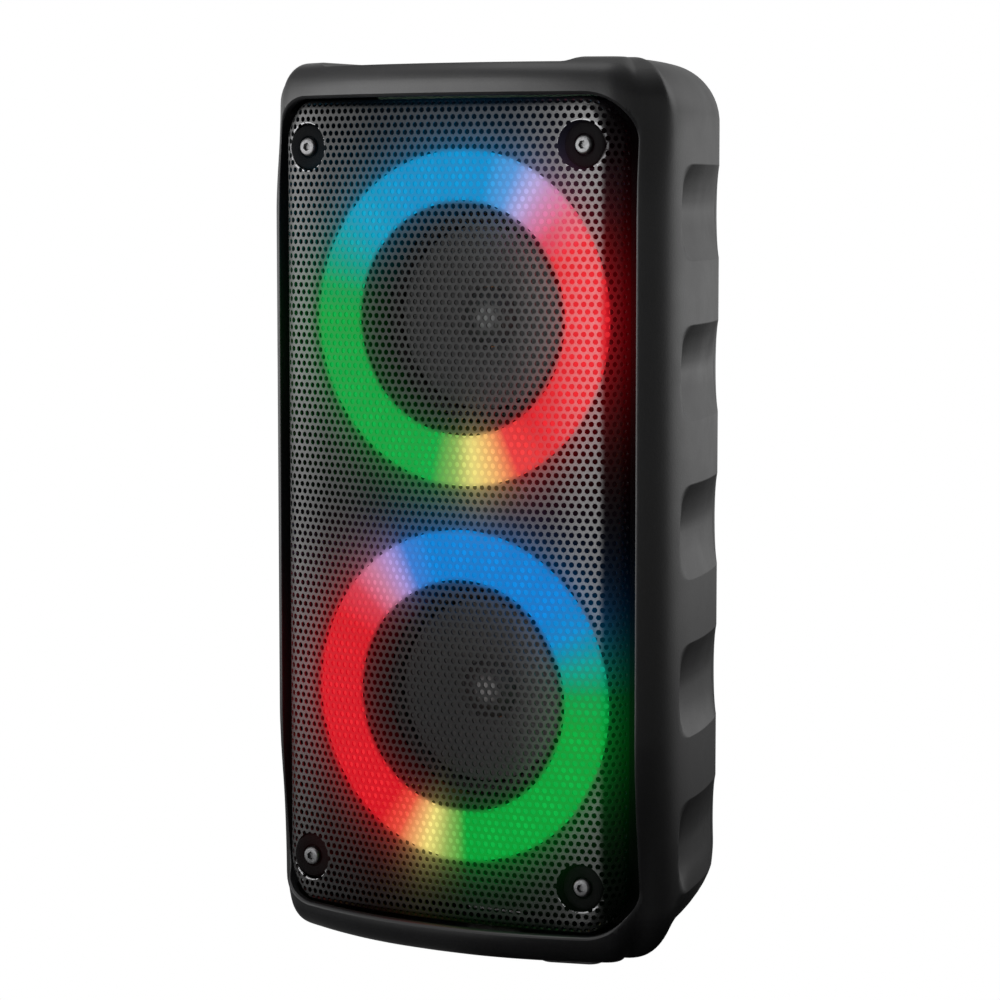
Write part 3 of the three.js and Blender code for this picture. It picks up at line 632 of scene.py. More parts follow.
# ---------------------------------------------------------------- perforated grille
GRILLE_R, GRILLE_T = 230.0, 0.6  # radius across the front; sheet thickness
GRILLE_FRONT = SCREW_Y - 5.8
PITCH, ROW, HOLE_R, HOLE_SEG = 2.57, 2.37, 0.93, 8
BLANK_EDGE = 1.6  # band at the edge left without holes
ROLL_ANGLE = math.radians(84)
ROLL = np.array([8.4, 3.0])  # bend radius along the upright edges; along the top and bottom
EDGE_GAP = 0.7
EDGE = np.array([OPEN_HALF, (OPEN_Z[1] - OPEN_Z[0]) / 2]) - EDGE_GAP  # finished half sizes
FLAT = EDGE - ROLL * math.sin(ROLL_ANGLE)  # half sizes of the part before the bends
FLAT_R = OPEN_R - EDGE_GAP - ROLL * math.sin(ROLL_ANGLE)  # corner radii of that part
BLANK = FLAT + ROLL * ROLL_ANGLE
BLANK_R = FLAT_R + ROLL * ROLL_ANGLE
GRILLE_Z = (OPEN_Z[0] + OPEN_Z[1]) / 2


def roll_at(u, v):
    """Corner centre, direction and distance from it, flat radius and bend length at u, v."""
    cu = np.clip(u, -FLAT[0] + FLAT_R[0], FLAT[0] - FLAT_R[0])
    cv = np.clip(v, -FLAT[1] + FLAT_R[1], FLAT[1] - FLAT_R[1])
    du, dv = u - cu, v - cv
    dist = np.hypot(du, dv)
    nu, nv = du / np.maximum(dist, 1e-9), dv / np.maximum(dist, 1e-9)
    least = 1e-9 * np.maximum(nu**2 + nv**2, 1e-9)
    flat, blank = (
        1 / np.sqrt(np.maximum((nu / r[0]) ** 2 + (nv / r[1]) ** 2, least))
        for r in (FLAT_R, BLANK_R)
    )
    return cu, cv, nu, nv, dist, flat, np.maximum(blank - flat, 0.1)


def bend(verts):
    """Flat sheet (u, depth into the sheet, v) to its place: arched, rolled back at the edges."""
    u, w, v = verts[:, 0], verts[:, 1], verts[:, 2]
    cu, cv, nu, nv, dist, flat, length = roll_at(u, v)
    radius = length / ROLL_ANGLE
    phi = np.minimum(np.maximum(0, dist - flat) / radius, math.radians(88))
    off_centre = dist > 1e-9
    reach = np.where(off_centre, np.minimum(dist, flat) + (radius - w) * np.sin(phi), 0)
    depth = np.where(off_centre, radius - (radius - w) * np.cos(phi), w)
    theta = (cu + nu * reach) / GRILLE_R
    x = (GRILLE_R - depth) * np.sin(theta)
    y = GRILLE_FRONT + GRILLE_R - (GRILLE_R - depth) * np.cos(theta)
    return np.c_[x, y, cv + nv * reach + GRILLE_Z]


def cell_pattern(cell, hole_angles):
    """Triangles between a cell's outer points and its hole, walked by angle."""
    cell_angles = [math.atan2((j - 0.5) * ROW, k * PITCH / 2) % (2 * math.pi) for k, j in cell]
    order = sorted(range(6), key=lambda i: cell_angles[i])
    cell = [cell[i] for i in order]
    cell_angles = [cell_angles[i] for i in order]
    pattern = []
    i = j = 0
    while i < 6 or j < HOLE_SEG:
        next_cell = cell_angles[(i + 1) % 6] + (2 * math.pi if i + 1 >= 6 else 0)
        wrap = 2 * math.pi if j + 1 >= HOLE_SEG else 0
        next_hole = hole_angles[(j + 1) % HOLE_SEG] + wrap
        if (i < 6 and next_cell <= next_hole) or j >= HOLE_SEG:
            pattern.append((("cell", i % 6), ("cell", (i + 1) % 6), ("hole", j % HOLE_SEG)))
            i += 1
        else:
            pattern.append((("cell", i % 6), ("hole", (j + 1) % HOLE_SEG), ("hole", j % HOLE_SEG)))
            j += 1
    return cell, pattern


def perforated():
    """Flat sheet of staggered round holes, each in a cell of six lattice points."""
    columns, rows = int(BLANK[0] / PITCH) + 1, int(BLANK[1] / ROW) + 1
    hole_angles = [math.pi * 2 * (i + 0.5) / HOLE_SEG for i in range(HOLE_SEG)]
    hole = [(HOLE_R * math.cos(a), HOLE_R * math.sin(a)) for a in hole_angles]
    cell, pattern = cell_pattern([(-1, 0), (0, 0), (1, 0), (1, 1), (0, 1), (-1, 1)], hole_angles)
    lattice, points, faces = {}, [], []

    def lattice_point(k, j):
        if (k, j) not in lattice:
            lattice[k, j] = len(points)
            points.append((k * PITCH / 2, (j - 0.5) * ROW))
        return lattice[k, j]

    for row in range(-rows, rows + 1):
        for column in range(-columns, columns + 1):
            middle = 2 * column + (row & 1)
            u, v = middle * PITCH / 2, row * ROW
            around = [lattice_point(middle + k, row + j) for k, j in cell]
            _, _, _, _, dist, flat, length = roll_at(np.array(u), np.array(v))
            if dist > flat + length - BLANK_EDGE:
                faces.append(tuple(around))
                continue
            first = len(points)
            points.extend((u + a, v + b) for a, b in hole)
            for triangle in pattern:
                faces.append(tuple(around[i] if w == "cell" else first + i for w, i in triangle))

    # both faces, and a wall along every open edge
    n = len(points)
    edges = dict.fromkeys(pair for face in faces for pair in zip(face, face[1:] + face[:1]))
    walls = [(b, a, a + n, b + n) for a, b in edges if (b, a) not in edges]
    back = [tuple(i + n for i in reversed(face)) for face in faces]
    verts = np.vstack([at_y(points, 0), at_y(points, GRILLE_T)])
    return make_mesh(verts, faces + back + walls, orient=False)


def grille_sheet():
    outline = []
    for side_u, side_v, start in ((1, -1, -90), (1, 1, 0), (-1, 1, 90), (-1, -1, 180)):
        for i in range(33):
            a = math.radians(start + 90 * i / 32)
            outline.append((
                side_u * (BLANK[0] - BLANK_R[0]) + BLANK_R[0] * math.cos(a),
                side_v * (BLANK[1] - BLANK_R[1]) + BLANK_R[1] * math.sin(a),
            ))
    sheet = keep(perforated(), prism_y(outline, -3, 5))
    for x, _, z in SCREWS.values():
        sheet = cut(sheet, cylinder_y(POST_R + 0.5, -3, 5, x, z - GRILLE_Z, 72))
    coords = np.zeros(len(sheet.vertices) * 3)
    sheet.vertices.foreach_get("co", coords)
    sheet.vertices.foreach_set("co", (bend(coords.reshape(-1, 3) * 1000) / 1000).ravel())
    sheet.update()
    return sheet


place("front_grille", "front_grille_sheet", grille_sheet(), 35)

# ---------------------------------------------------------------- baffle and light rings
SCREW_POST = [  # radius, y from the screw heads
    (0, 1.2), (POST_R - 1.0, 1.2), (POST_R - 0.5, 1.32), (POST_R - 0.15, 1.65), (POST_R, 2.2),
    (POST_R, BAFFLE_Y + 1 - SCREW_Y), (0, BAFFLE_Y + 1 - SCREW_Y),
]
SCREW_WELL = [(0, -1), (4.5, -1), (4.1, 1.2), (3.7, 1.35), (3.5, 1.7), (3.5, 2.4), (0, 2.4)]


def baffle_mesh():
    """Plate with a raised rim round each light ring, a trim ring round each driver, and posts."""
    plate = rounded_rect(-66.0, 13.4, 66.0, 279.8, 14, 12)
    within_plate = prism_y(plate, -90, 90)
    trim = [  # radius, y
        (38.2, RING_Y - 0.2), (37.9, RING_Y - 0.45), (37.5, RING_Y - 0.45), (37.1, RING_Y - 0.1),
        (36.3, RING_Y + 4), (35.2, FLANGE_Y - 3), (34.6, FLANGE_Y - 0.4), (38.2, FLANGE_Y - 0.4),
    ]
    rim = [  # radius beyond the light ring, y
        (0.4, BAFFLE_Y + 0.5), (0.4, RING_Y + 0.2), (0.8, RING_Y - 0.2), (1.6, RING_Y - 0.2),
        (2.2, RING_Y + 0.4), (2.4, BAFFLE_Y + 0.5),
    ]
    rim = [(RING_OUT + r, y) for r, y in rim]
    baffle = prism_y(plate, BAFFLE_Y, BAFFLE_Y + 3.0)
    for z in RING_Z.values():
        baffle = cut(baffle, cylinder_y(36, BAFFLE_Y - 5, BAFFLE_Y + 10, 0, z, 96))
        baffle = join(baffle, lathe(trim, 0, z, 128))
        baffle = join(baffle, keep(lathe(rim, 0, z, 128), within_plate))
    for x, _, z in SCREWS.values():
        baffle = join(baffle, lathe(SCREW_POST, x, z, 72, SCREW_Y))
        baffle = cut(baffle, lathe(SCREW_WELL, x, z, 48, SCREW_Y))
        baffle = cut(baffle, cylinder_y(1.8, SCREW_Y, SCREW_Y + 40, x, z, 24))
    return baffle


def light_ring(z):
    edge = [(0, 3), (0, 0.9), (0.25, 0.4), (0.8, 0.12)]  # distance from the edge, y
    profile = [(RING_IN + d, y) for d, y in edge]
    for t in np.linspace(0.1, 0.9, 9):
        radius = RING_IN + (RING_OUT - RING_IN) * t
        profile.append((radius, 0.02 + 0.35 * (2 * t - 1) ** 2 * 0.3))
    profile += [(RING_OUT - d, y) for d, y in reversed(edge)]
    return lathe(profile, 0, z, 160, RING_Y)


place("front_baffle", "front_baffle_moulding", baffle_mesh())
for k in DRIVERS:
    place("light_ring_" + k, "light_ring_lens_" + k, light_ring(RING_Z[k]), 35)

# ---------------------------------------------------------------- drivers
# Profiles are (radius, y from the flange face).
BASKET = [
    (40, 0.35), (39.65, 0), (36.6, 0), (36.0, 0.5), (35.6, 1.3), (35.4, 1.8), (22.0, 20),
    (11.7, 20), (11.7, 21.4), (23.5, 21.4), (23.5, 20), (36.8, 2.2), (40, 1.6),
]
MAGNET = [
    (0, 23), (9.2, 23), (9.3, 23.1), (9.3, 34), (11.4, 34), (11.4, 21.8), (20, 21.8),
    (20.4, 25.4), (25.6, 25.4), (26, 25.8), (26, 36.0), (25.6, 36.4), (23, 36.4),
    (22.6, 39.5), (22.1, 40), (0, 40),
]
COIL = [
    (9.8, 8.3), (10.35, 8.3), (10.35, 20), (10.7, 20.2), (10.7, 28.6), (10.5, 29), (9.8, 29),
]


def on_flange(profile, z, seg):
    return lathe(profile, 0, z, seg, FLANGE_Y)


def basket(z):
    """Flange and cage, with six windows through the cage."""
    window = [(-6.5, 5.2), (6.5, 5.2), (4.2, 16.6), (-4.2, 16.6)]  # across, y
    body = on_flange(BASKET, z, 96)
    for i in range(6):
        w = math.radians(30 + 60 * i)
        body = cut(body, loft([
            [
                (r * math.cos(w) - p * math.sin(w), FLANGE_Y + q,
                 z + r * math.sin(w) + p * math.cos(w))
                for p, q in window
            ]
            for r in (8, 60)
        ]))
    return body


def surround(z):
    """One half roll of rubber with a lip at each side."""
    profile = []
    for i in range(15):
        a = math.pi * i / 14
        profile.append((33.0 - 1.85 * math.cos(a), 1.35 - 1.65 * math.sin(a)))
    profile += [(35.0, 1.5), (35.0, 1.95), (34.6, 1.95)]
    for i in range(12, 1, -1):
        a = math.pi * i / 14
        profile.append((33.0 - 1.45 * math.cos(a), 1.9 - 1.35 * math.sin(a)))
    return on_flange(profile + [(31.4, 2.0), (31.15, 1.95)], z, 128)


def cone(z):
    """Shallow curved cone with two raised ribs."""
    rim, neck, thickness = 30.35, 10.1, 0.7
    front = []
    for r in np.linspace(rim, neck, 34):
        y = 2.25 + 4.9 * ((rim - r) / (rim - neck)) ** 1.12
        for rib in (25.5, 20.5):
            y += 0.22 * math.exp(-(((r - rib) / 0.5) ** 2))
        front.append((r, y))
    return on_flange(front + [(r, y + thickness) for r, y in reversed(front)], z, 128)


def dust_cap(z):
    """Dome with a small rim."""
    front = [(r, 4.45 + 2.6 * (r / 9.7) ** 2.2) for r in np.linspace(0, 9.7, 18)]
    back = [(max(r - 0.12, 0), y + 0.55) for r, y in reversed(front)]
    return on_flange(front + [(9.95, 7.25)] + back, z, 96)


def magnet(z):
    return on_flange(MAGNET, z, 96)


def spider(z):
    """Corrugated disc with a flat rim."""
    inner_r, outer_r = 11.6, 20.5
    front = []
    for r in np.linspace(inner_r, outer_r, 40):
        wave = math.sin((r - inner_r) / (outer_r - inner_r) * math.pi * 8)
        front.append((r, 15.0 + 0.5 * wave))
    back = [(r, y + 0.55) for r, y in reversed(front)]
    rim = [(21.0, 15.45), (23.0, 15.45), (23.0, 16.1), (21.0, 16.1)]
    return on_flange(front + rim + back, z, 96)


def coil(z):
    return on_flange(COIL, z, 80)


DRIVER_PARTS = (  # CAD node, object name, builder
    ("driver_basket_", "driver_basket_stamping_", basket),
    ("driver_surround_", "surround_roll_", surround),
    ("driver_cone_", "cone_paper_", cone),
    ("dust_cap_", "dust_cap_dome_", dust_cap),
    ("driver_magnet_", "magnet_motor_", magnet),
    ("driver_spider_", "spider_disc_", spider),
    ("voice_coil_", "voice_coil_former_", coil),
)
for k in DRIVERS:
    for node, name, builder in DRIVER_PARTS:
        place(node + k, name + k, builder(RING_Z[k]))

# ---------------------------------------------------------------- front screws
SOCKET_TURN = {"top_left": 0.35, "top_right": 0.1, "bottom_left": 0.6, "bottom_right": 0.25}
HEX_STAGES = ((1.75, -1.2), (1.42, 0.03), (1.32, 0.2), (1.32, 1.2))  # radius, y


def hexagon(x, z, r, turn):
    angles = [math.pi / 3 * i + turn for i in range(6)]
    return np.array([(x + r * math.cos(a), z + r * math.sin(a)) for a in angles])


def front_screw(k):
    """Domed head with a hexagon socket, and a threaded shank."""
    x, _, z = SCREWS[k]
    profile = [(0, -0.1), (1.5, -0.09), (2.2, -0.02)]
    for i in range(1, 9):
        a = math.radians(90 * i / 8)
        profile.append((2.2 + 0.75 * math.sin(a), -0.02 + 0.95 * (1 - math.cos(a))))
    profile += [(2.95, 1.8), (1.5, 1.8)]
    for y in np.arange(2.2, 27, 0.6):
        profile += [(1.5, y), (1.28, y + 0.25), (1.5, y + 0.5)]
    profile += [(0.6, 28), (0, 28)]
    socket = [at_y(hexagon(x, z, r, SOCKET_TURN[k]), SCREW_Y + y) for r, y in HEX_STAGES]
    return cut(lathe(profile, x, z, 48, SCREW_Y), loft(socket))


for k in CORNERS:
    place("front_screw_" + k, "front_screw_steel_" + k, front_screw(k))

# ---------------------------------------------------------------- control panel and keys
KEYS = {  # corner radius, moving body
    "button_power": (6.0, "power_key"),
    "button_previous": (2.2, "previous_key"),
    "button_play_pause": (6.6, "play_pause_key"),
    "button_next": (2.2, "next_key"),
    "button_light_mode": (6.0, "light_mode_key"),
}
KEY_BOX = {k: node_box(k) for k in KEYS}
MARK_DEPTH = 0.42
STATUS_X, STATUS_Y, _ = centre("status_light")


def panel_mesh():
    top = PANEL_HI[2]
    lo, hi = PANEL_LO + PANEL_FLANGE + FIT_GAP, PANEL_HI - PANEL_FLANGE - FIT_GAP
    plate = [(0, 288.2), (0, top - 0.35), (-0.1, top - 0.15), (-0.35, top)]  # outset, z
    flange = [(0, PANEL_LO[2]), (0, PANEL_LO[2] + 1.7)]
    key_hole = [(0.4, 280), (0.4, top - 0.3), (0.75, top + 0.05), (1.2, top + 0.5)]
    light_hole = [(0, 280), (1.5, 280), (1.5, top - 0.2), (1.9, top + 0.2), (0, top + 0.2)]
    panel = rounded_z(lo, hi, 4.7, plate)
    panel = join(panel, rounded_z(PANEL_LO, PANEL_HI, 6, flange))
    for k, (radius, _) in KEYS.items():
        panel = cut(panel, rounded_z(*KEY_BOX[k], radius, key_hole))
    return cut(panel, lathe(light_hole, STATUS_X, STATUS_Y, 40, upright=True))


def triangle(cx, width, height):
    """Triangle with its point toward +X, or toward -X for a negative width."""
    points = [(cx - width / 2, -height / 2), (cx + width / 2, 0), (cx - width / 2, height / 2)]
    return np.array(points)[:: 1 if width > 0 else -1]


def arc_points(radius, degrees):
    return [(radius * math.cos(t), radius * math.sin(t)) for t in np.radians(degrees)]


def key_marks(name):
    """Outlines of a key's symbol about its centre."""
    if name == "button_power":
        sweep = np.linspace(125, 415, 40)
        arc = arc_points(2.1, sweep) + arc_points(1.55, np.linspace(415, 125, 40))
        return [np.array(arc), rectangle(-0.28, 0.28, 0.6, 2.7)]
    if name == "button_play_pause":
        bars = [rectangle(x - 0.3, x + 0.3, -1.4, 1.4) for x in (0.9, 1.9)]
        return [triangle(-1.2, 2.2, 2.8)] + bars
    if name == "button_light_mode":
        marks = []
        for i in range(8):
            t = math.pi / 4 * i
            u = np.array([math.cos(t), math.sin(t)])
            v = np.array([-math.sin(t), math.cos(t)]) * 0.2
            marks.append(np.array([u * 1.9 - v, u * 2.7 - v, u * 2.7 + v, u * 1.9 + v]))
        return marks + [np.array(arc_points(1.2, np.linspace(0, 360, 25)[:-1]))]
    side = 1 if name == "button_next" else -1
    bar = (rectangle(1.8, 2.25, -1.1, 1.1) * [side, 1])[::side]
    return [triangle(-0.9 * side, 1.9 * side, 2.2), triangle(0.8 * side, 1.9 * side, 2.2), bar]


def key_mesh(name):
    """Key with softened edges, a shallow dish on top and a sunken symbol."""
    lo, hi = KEY_BOX[name]
    bottom, top = lo[2], hi[2]
    stages = [  # outset, z
        (0, bottom), (0, top - 0.9), (-0.06, top - 0.55), (-0.22, top - 0.25),
        (-0.5, top - 0.06), (-0.85, top), (-1.5, top - 0.02), (-2.3, top - 0.14),
        (-3.2, top - 0.24),
    ]
    half = min(hi[0] - lo[0], hi[1] - lo[1]) / 2
    stages = [(e, z) for e, z in stages if half + e > 0.8]
    key = rounded_z(lo, hi, KEYS[name][0], stages)
    for mark in key_marks(name):
        key = cut(key, prism_z(mark + ((lo + hi) / 2)[:2], top - MARK_DEPTH, top + 1))
    return key


def status_lens():
    bottom, top = (corner[2] for corner in node_box("status_light"))
    profile = [
        (0, bottom), (1.2, bottom), (1.2, top - 0.35), (1.0, top - 0.12), (0.6, top - 0.02),
        (0, top),
    ]
    return lathe(profile, STATUS_X, STATUS_Y, 40, upright=True)


place("control_panel", "control_panel_plate", panel_mesh())
for k in KEYS:
    place(k, k + "_cap", key_mesh(k))
place("status_light", "status_light_lens", status_lens())

# ---------------------------------------------------------------- socket panel and sockets
JACKS = {  # barrel radius, bore radius, radius of the hole in the panel
    "line_in_jack": (3.5, 1.75, 3.9),
    "microphone_jack": (6.0, 3.2, 6.4),
}


def socket_panel():
    face = SOCKET_HI[1]
    lo = SOCKET_LO[XZ] + SOCKET_FLANGE + FIT_GAP
    hi = SOCKET_HI[XZ] - SOCKET_FLANGE - FIT_GAP
    plate_stages = [(0, -2.6), (0, -0.3), (-0.12, -0.1), (-0.4, 0)]  # outset, y from the face
    panel = rounded_y(lo, hi, 3.7, plate_stages, base=face)
    flange = rounded_rect(*SOCKET_LO[XZ], *SOCKET_HI[XZ], 5, 10)
    panel = join(panel, prism_y(flange, face - 3.6, face - 2.2))

    def cut_slot(body, node, gap, radius, extra_x=0.0):
        """Slot a gap wider than the node, and longer toward +X by extra_x."""
        low, high = node_box(node)
        low, high = low[XZ] - gap, high[XZ] + [gap + extra_x, gap]
        stages = [(0, -10), (0, -0.35), (0.35, 0.02), (1.55, 1.2)]
        return cut(body, rounded_y(low, high, radius, stages, 8, face))

    panel = cut_slot(panel, "usb_a_socket", 0.4, 0.5)
    panel = cut_slot(panel, "usb_c_socket", 0.5, 2.1)
    for node, (_, _, r) in JACKS.items():
        x, _, z = centre(node)
        hole = [(0, -10), (r, -10), (r, -0.4), (r + 0.45, 0.05), (r + 0.9, 0.6), (0, 0.6)]
        panel = cut(panel, lathe(hole, x, z, 64, face))
    return cut_slot(panel, "power_switch", 0.5, 0.4, extra_x=4.2)


def usb_a():
    a, b = node_box("usb_a_socket")
    lo, hi, face = a[XZ], b[XZ], b[1]
    body = stacked_y(lo, hi, [(0, 0.5, a[1]), (0, 0.5, face - 0.15), (-0.12, 0.4, face)], 4)
    body = cut(body, stacked_y(lo, hi, [(-0.45, 0.3, face - 8.5), (-0.45, 0.3, face + 1)], 4))
    tongue = box(a[0] + 2.0, b[0] - 2.0, face - 9.0, face - 0.7, b[2] - 2.6, b[2] - 0.9)
    return join(body, tongue)


def usb_c():
    a, b = node_box("usb_c_socket")
    lo, hi, face = a[XZ], b[XZ], b[1]
    radius = (b[2] - a[2]) / 2 - 0.01
    body = rounded_y(lo, hi, radius, [(0, a[1]), (0, face - 0.1), (-0.1, face)], 12)
    body = cut(body, rounded_y(lo, hi, radius, [(-0.35, face - 6.2), (-0.35, face + 1)], 12))
    x, _, z = (a + b) / 2
    return join(body, box(x - 3.1, x + 3.1, face - 6.6, face - 0.6, z - 0.35, z + 0.35))


def jack(node):
    r, bore, _ = JACKS[node]
    a, b = node_box(node)
    x, _, z = (a + b) / 2
    length = b[1] - a[1]
    profile = [
        (bore, -0.5), (bore + 0.35, -0.15), (bore + 0.8, 0), (r - 0.7, 0), (r - 0.25, -0.12),
        (r, -0.45), (r, -length), (bore, -length),
    ]
    return lathe(profile, x, z, 64, b[1])


def switch():
    """Slider with five upright V grooves."""
    a, b = node_box("power_switch")
    face = b[1]
    stages = [(0, 0.4, a[1]), (0, 0.4, face - 0.25), (-0.2, 0.3, face)]
    body = stacked_y(a[XZ], b[XZ], stages, 4)
    for i in range(5):
        x = a[0] + 1.4 + i * (b[0] - a[0] - 2.8) / 4
        groove = [(x - 0.35, face + 0.3), (x + 0.35, face + 0.3), (x, face - 0.45)]
        body = cut(body, prism_z(groove, a[2] - 1, b[2] + 1))
    return body


def bass_port():
    profile = [  # radius, y from the back face
        (PORT_R + 3.65, -0.55), (PORT_R + 3.4, -0.3), (PORT_R + 2.6, -0.3),
    ]
    for i in range(1, 10):
        a = math.radians(90 * i / 9)
        profile.append((PORT_R + 2.6 * (1 - math.sin(a)), -0.3 - 4.2 * (1 - math.cos(a))))
    profile += [
        (PORT_R, -45.4), (PORT_R + 0.6, -46), (PORT_R + 1.8, -46), (PORT_R + 1.8, -6.2),
        (PORT_R + 3.65, -4.2),
    ]
    return lathe(profile, 0, PORT_Z, 96, BACK_Y)


place("socket_panel", "socket_panel_plate", socket_panel())
place("usb_a_socket", "usb_a_shell", usb_a())
place("usb_c_socket", "usb_c_shell", usb_c())
place("line_in_jack", "line_in_barrel", jack("line_in_jack"))
place("microphone_jack", "microphone_barrel", jack("microphone_jack"))
place("power_switch", "power_switch_slider_cap", switch())
place("bass_port_tube", "bass_port_flare", bass_port())

# ---------------------------------------------------------------- rear screws and feet


def rear_screw(k):
    """Rounded head with a cross recess, and a threaded shank toward the front."""
    x, _, z = REAR_SCREWS[k]
    face = node_box("rear_screw_" + k)[1][1]
    profile = [
        (0, 0), (1.4, -0.05), (2.2, -0.25), (2.75, -0.65), (3.0, -1.2), (3.0, -2.2), (1.4, -2.2),
    ]
    for y in np.arange(-2.6, -14.5, -1.0):
        profile += [(1.4, y), (1.1, y - 0.5)]
    screw = lathe(profile + [(0.3, -16), (0, -16)], x, z, 40, face)
    for half_x, half_z in ((1.75, 0.33), (0.33, 1.75)):
        screw = cut(screw, loft([
            at_y(rectangle(-half_x * f, half_x * f, -half_z * f, half_z * f) + [x, z], face + y)
            for f, y in ((1.0, 0.5), (0.95, -0.4), (0.45, -1.3))
        ]))
    return screw


def foot(corner):
    """Rounded pad with seven grooves across its underside."""
    height = node_box("foot_" + corner)[1][2]
    stages = [(-1.6, 0.0), (-0.75, 0.02), (-0.35, 0.2), (-0.1, 0.5), (0, 0.95), (0, height)]
    half_x, half_y = FOOT_HALF
    sections = []
    for e, z in stages:
        outline = rounded_rect(-half_x - e, -half_y - e, half_x + e, half_y + e, half_y + e, 14)
        sections.append(at_z(foot_outline(corner, outline), z))
    pad = loft(sections)
    for i in range(-3, 4):
        groove = rectangle(i * 2.6 - 0.4, i * 2.6 + 0.4, -2.6, 2.6)
        pad = cut(pad, prism_z(foot_outline(corner, groove), -1, 0.3))
    return pad


for k in CORNERS:
    place("rear_screw_" + k, "rear_screw_steel_" + k, rear_screw(k))
for k in FOOT_TURN:
    place("foot_" + k, "foot_pad_" + k, foot(k))

# ---------------------------------------------------------------- shader helpers


class Graph:
    """Node tree of a material or world, with short ways to add common nodes."""

    def __init__(self, owner):
        owner.use_nodes = True
        self.tree = owner.node_tree
        self.tree.nodes.clear()
        self.position = None

    def new(self, kind, **settings):
        node = self.tree.nodes.new(kind)
        for key, value in settings.items():
            setattr(node, key, value)
        return node

    def feed(self, socket, value):
        """Set a socket from a number or colour, or link another socket to it."""
        if isinstance(value, (int, float)):
            socket.default_value = value
        elif isinstance(value, tuple):
            socket.default_value = (*value[:3], 1)
        else:
            self.tree.links.new(value, socket)

    def coords(self):
        if self.position is None:
            self.position = self.new("ShaderNodeTexCoord").outputs["Object"]
        return self.position

    def geometry(self, output):
        return self.new("ShaderNodeNewGeometry").outputs[output]

    def split(self, vector):
        node = self.new("ShaderNodeSeparateXYZ")
        self.feed(node.inputs[0], vector)
        return node.outputs

    def noise(self, scale, detail, rough, stretch=None):
        node = self.new("ShaderNodeTexNoise")
        for name, value in (("Scale", scale), ("Detail", detail), ("Roughness", rough)):
            node.inputs[name].default_value = value
        vector = self.coords()
        if stretch:
            mapping = self.new("ShaderNodeMapping")
            mapping.inputs["Scale"].default_value = stretch
            self.feed(mapping.inputs["Vector"], vector)
            vector = mapping.outputs["Vector"]
        self.feed(node.inputs["Vector"], vector)
        return node.outputs["Fac"]

    def ramp(self, factor, stops):
        """Colour ramp through stops of (position, grey or colour)."""
        node = self.new("ShaderNodeValToRGB")
        elements = node.color_ramp.elements
        while len(elements) > 1:
            elements.remove(elements[-1])
        for i, (position, colour) in enumerate(stops):
            colour = (colour,) * 3 if np.ndim(colour) == 0 else tuple(colour)
            if i == 0:
                elements[0].position = position
            element = elements[0] if i == 0 else elements.new(position)
            element.color = (*colour, 1)
        self.feed(node.inputs["Fac"], factor)
        return node.outputs["Color"]

    def spread(self, factor, low, high):
        """The middle of a noise's range stretched from low to high."""
        return self.ramp(factor, [(0.3, low), (0.7, high)])

    def drift(self, low, high, **noise):
        return self.spread(self.noise(**noise), low, high)

    def math(self, operation, *values, clamp=False):
        node = self.new("ShaderNodeMath", operation=operation, use_clamp=clamp)
        for socket, value in zip(node.inputs, values):
            self.feed(socket, value)
        return node.outputs[0]

    def hypot(self, a, b):
        squares = self.math("MULTIPLY", a, a), self.math("MULTIPLY", b, b)
        return self.math("SQRT", self.math("ADD", *squares))

    def turns(self, up, across):
        """Angle as a fraction of a turn, 0 at -180 degrees."""
        angle = self.math("ARCTAN2", up, across)
        return self.math("MULTIPLY_ADD", angle, 1 / (2 * math.pi), 0.5)

    def mix(self, factor, a, b, blend="MIX"):
        node = self.new("ShaderNodeMix", data_type="RGBA", blend_type=blend)
        for index, value in ((0, factor), (6, a), (7, b)):
            self.feed(node.inputs[index], value)
        return node.outputs[2]

    def times(self, a, b):
        return self.mix(1.0, a, b, "MULTIPLY")

    def bump(self, height, depth, strength=1.0):
        node = self.new("ShaderNodeBump")
        node.inputs["Strength"].default_value = strength
        node.inputs["Distance"].default_value = depth
        self.feed(node.inputs["Height"], height)
        return node.outputs["Normal"]


class Surface(Graph):
    """Material with a Principled shader."""

    def __init__(self, name):
        self.material = bpy.data.materials.new(name)
        super().__init__(self.material)
        output = self.new("ShaderNodeOutputMaterial")
        self.bsdf = self.new("ShaderNodeBsdfPrincipled")
        self.feed(output.inputs[0], self.bsdf.outputs[0])

    def surface(self, **inputs):
        """Feed shader inputs; base_color stands for "Base Color" and so on."""
        for key, value in inputs.items():
            name = key.replace("_", " ").title().replace("Ior", "IOR")
            self.feed(self.bsdf.inputs[name], value)


# ---------------------------------------------------------------- light ring colours


def srgb(*values):
    """Linear colour from 0-255 display values."""
    return tuple(
        ((v / 255 + 0.055) / 1.055) ** 2.4 if v > 10.3 else v / 255 / 12.92 for v in values
    )


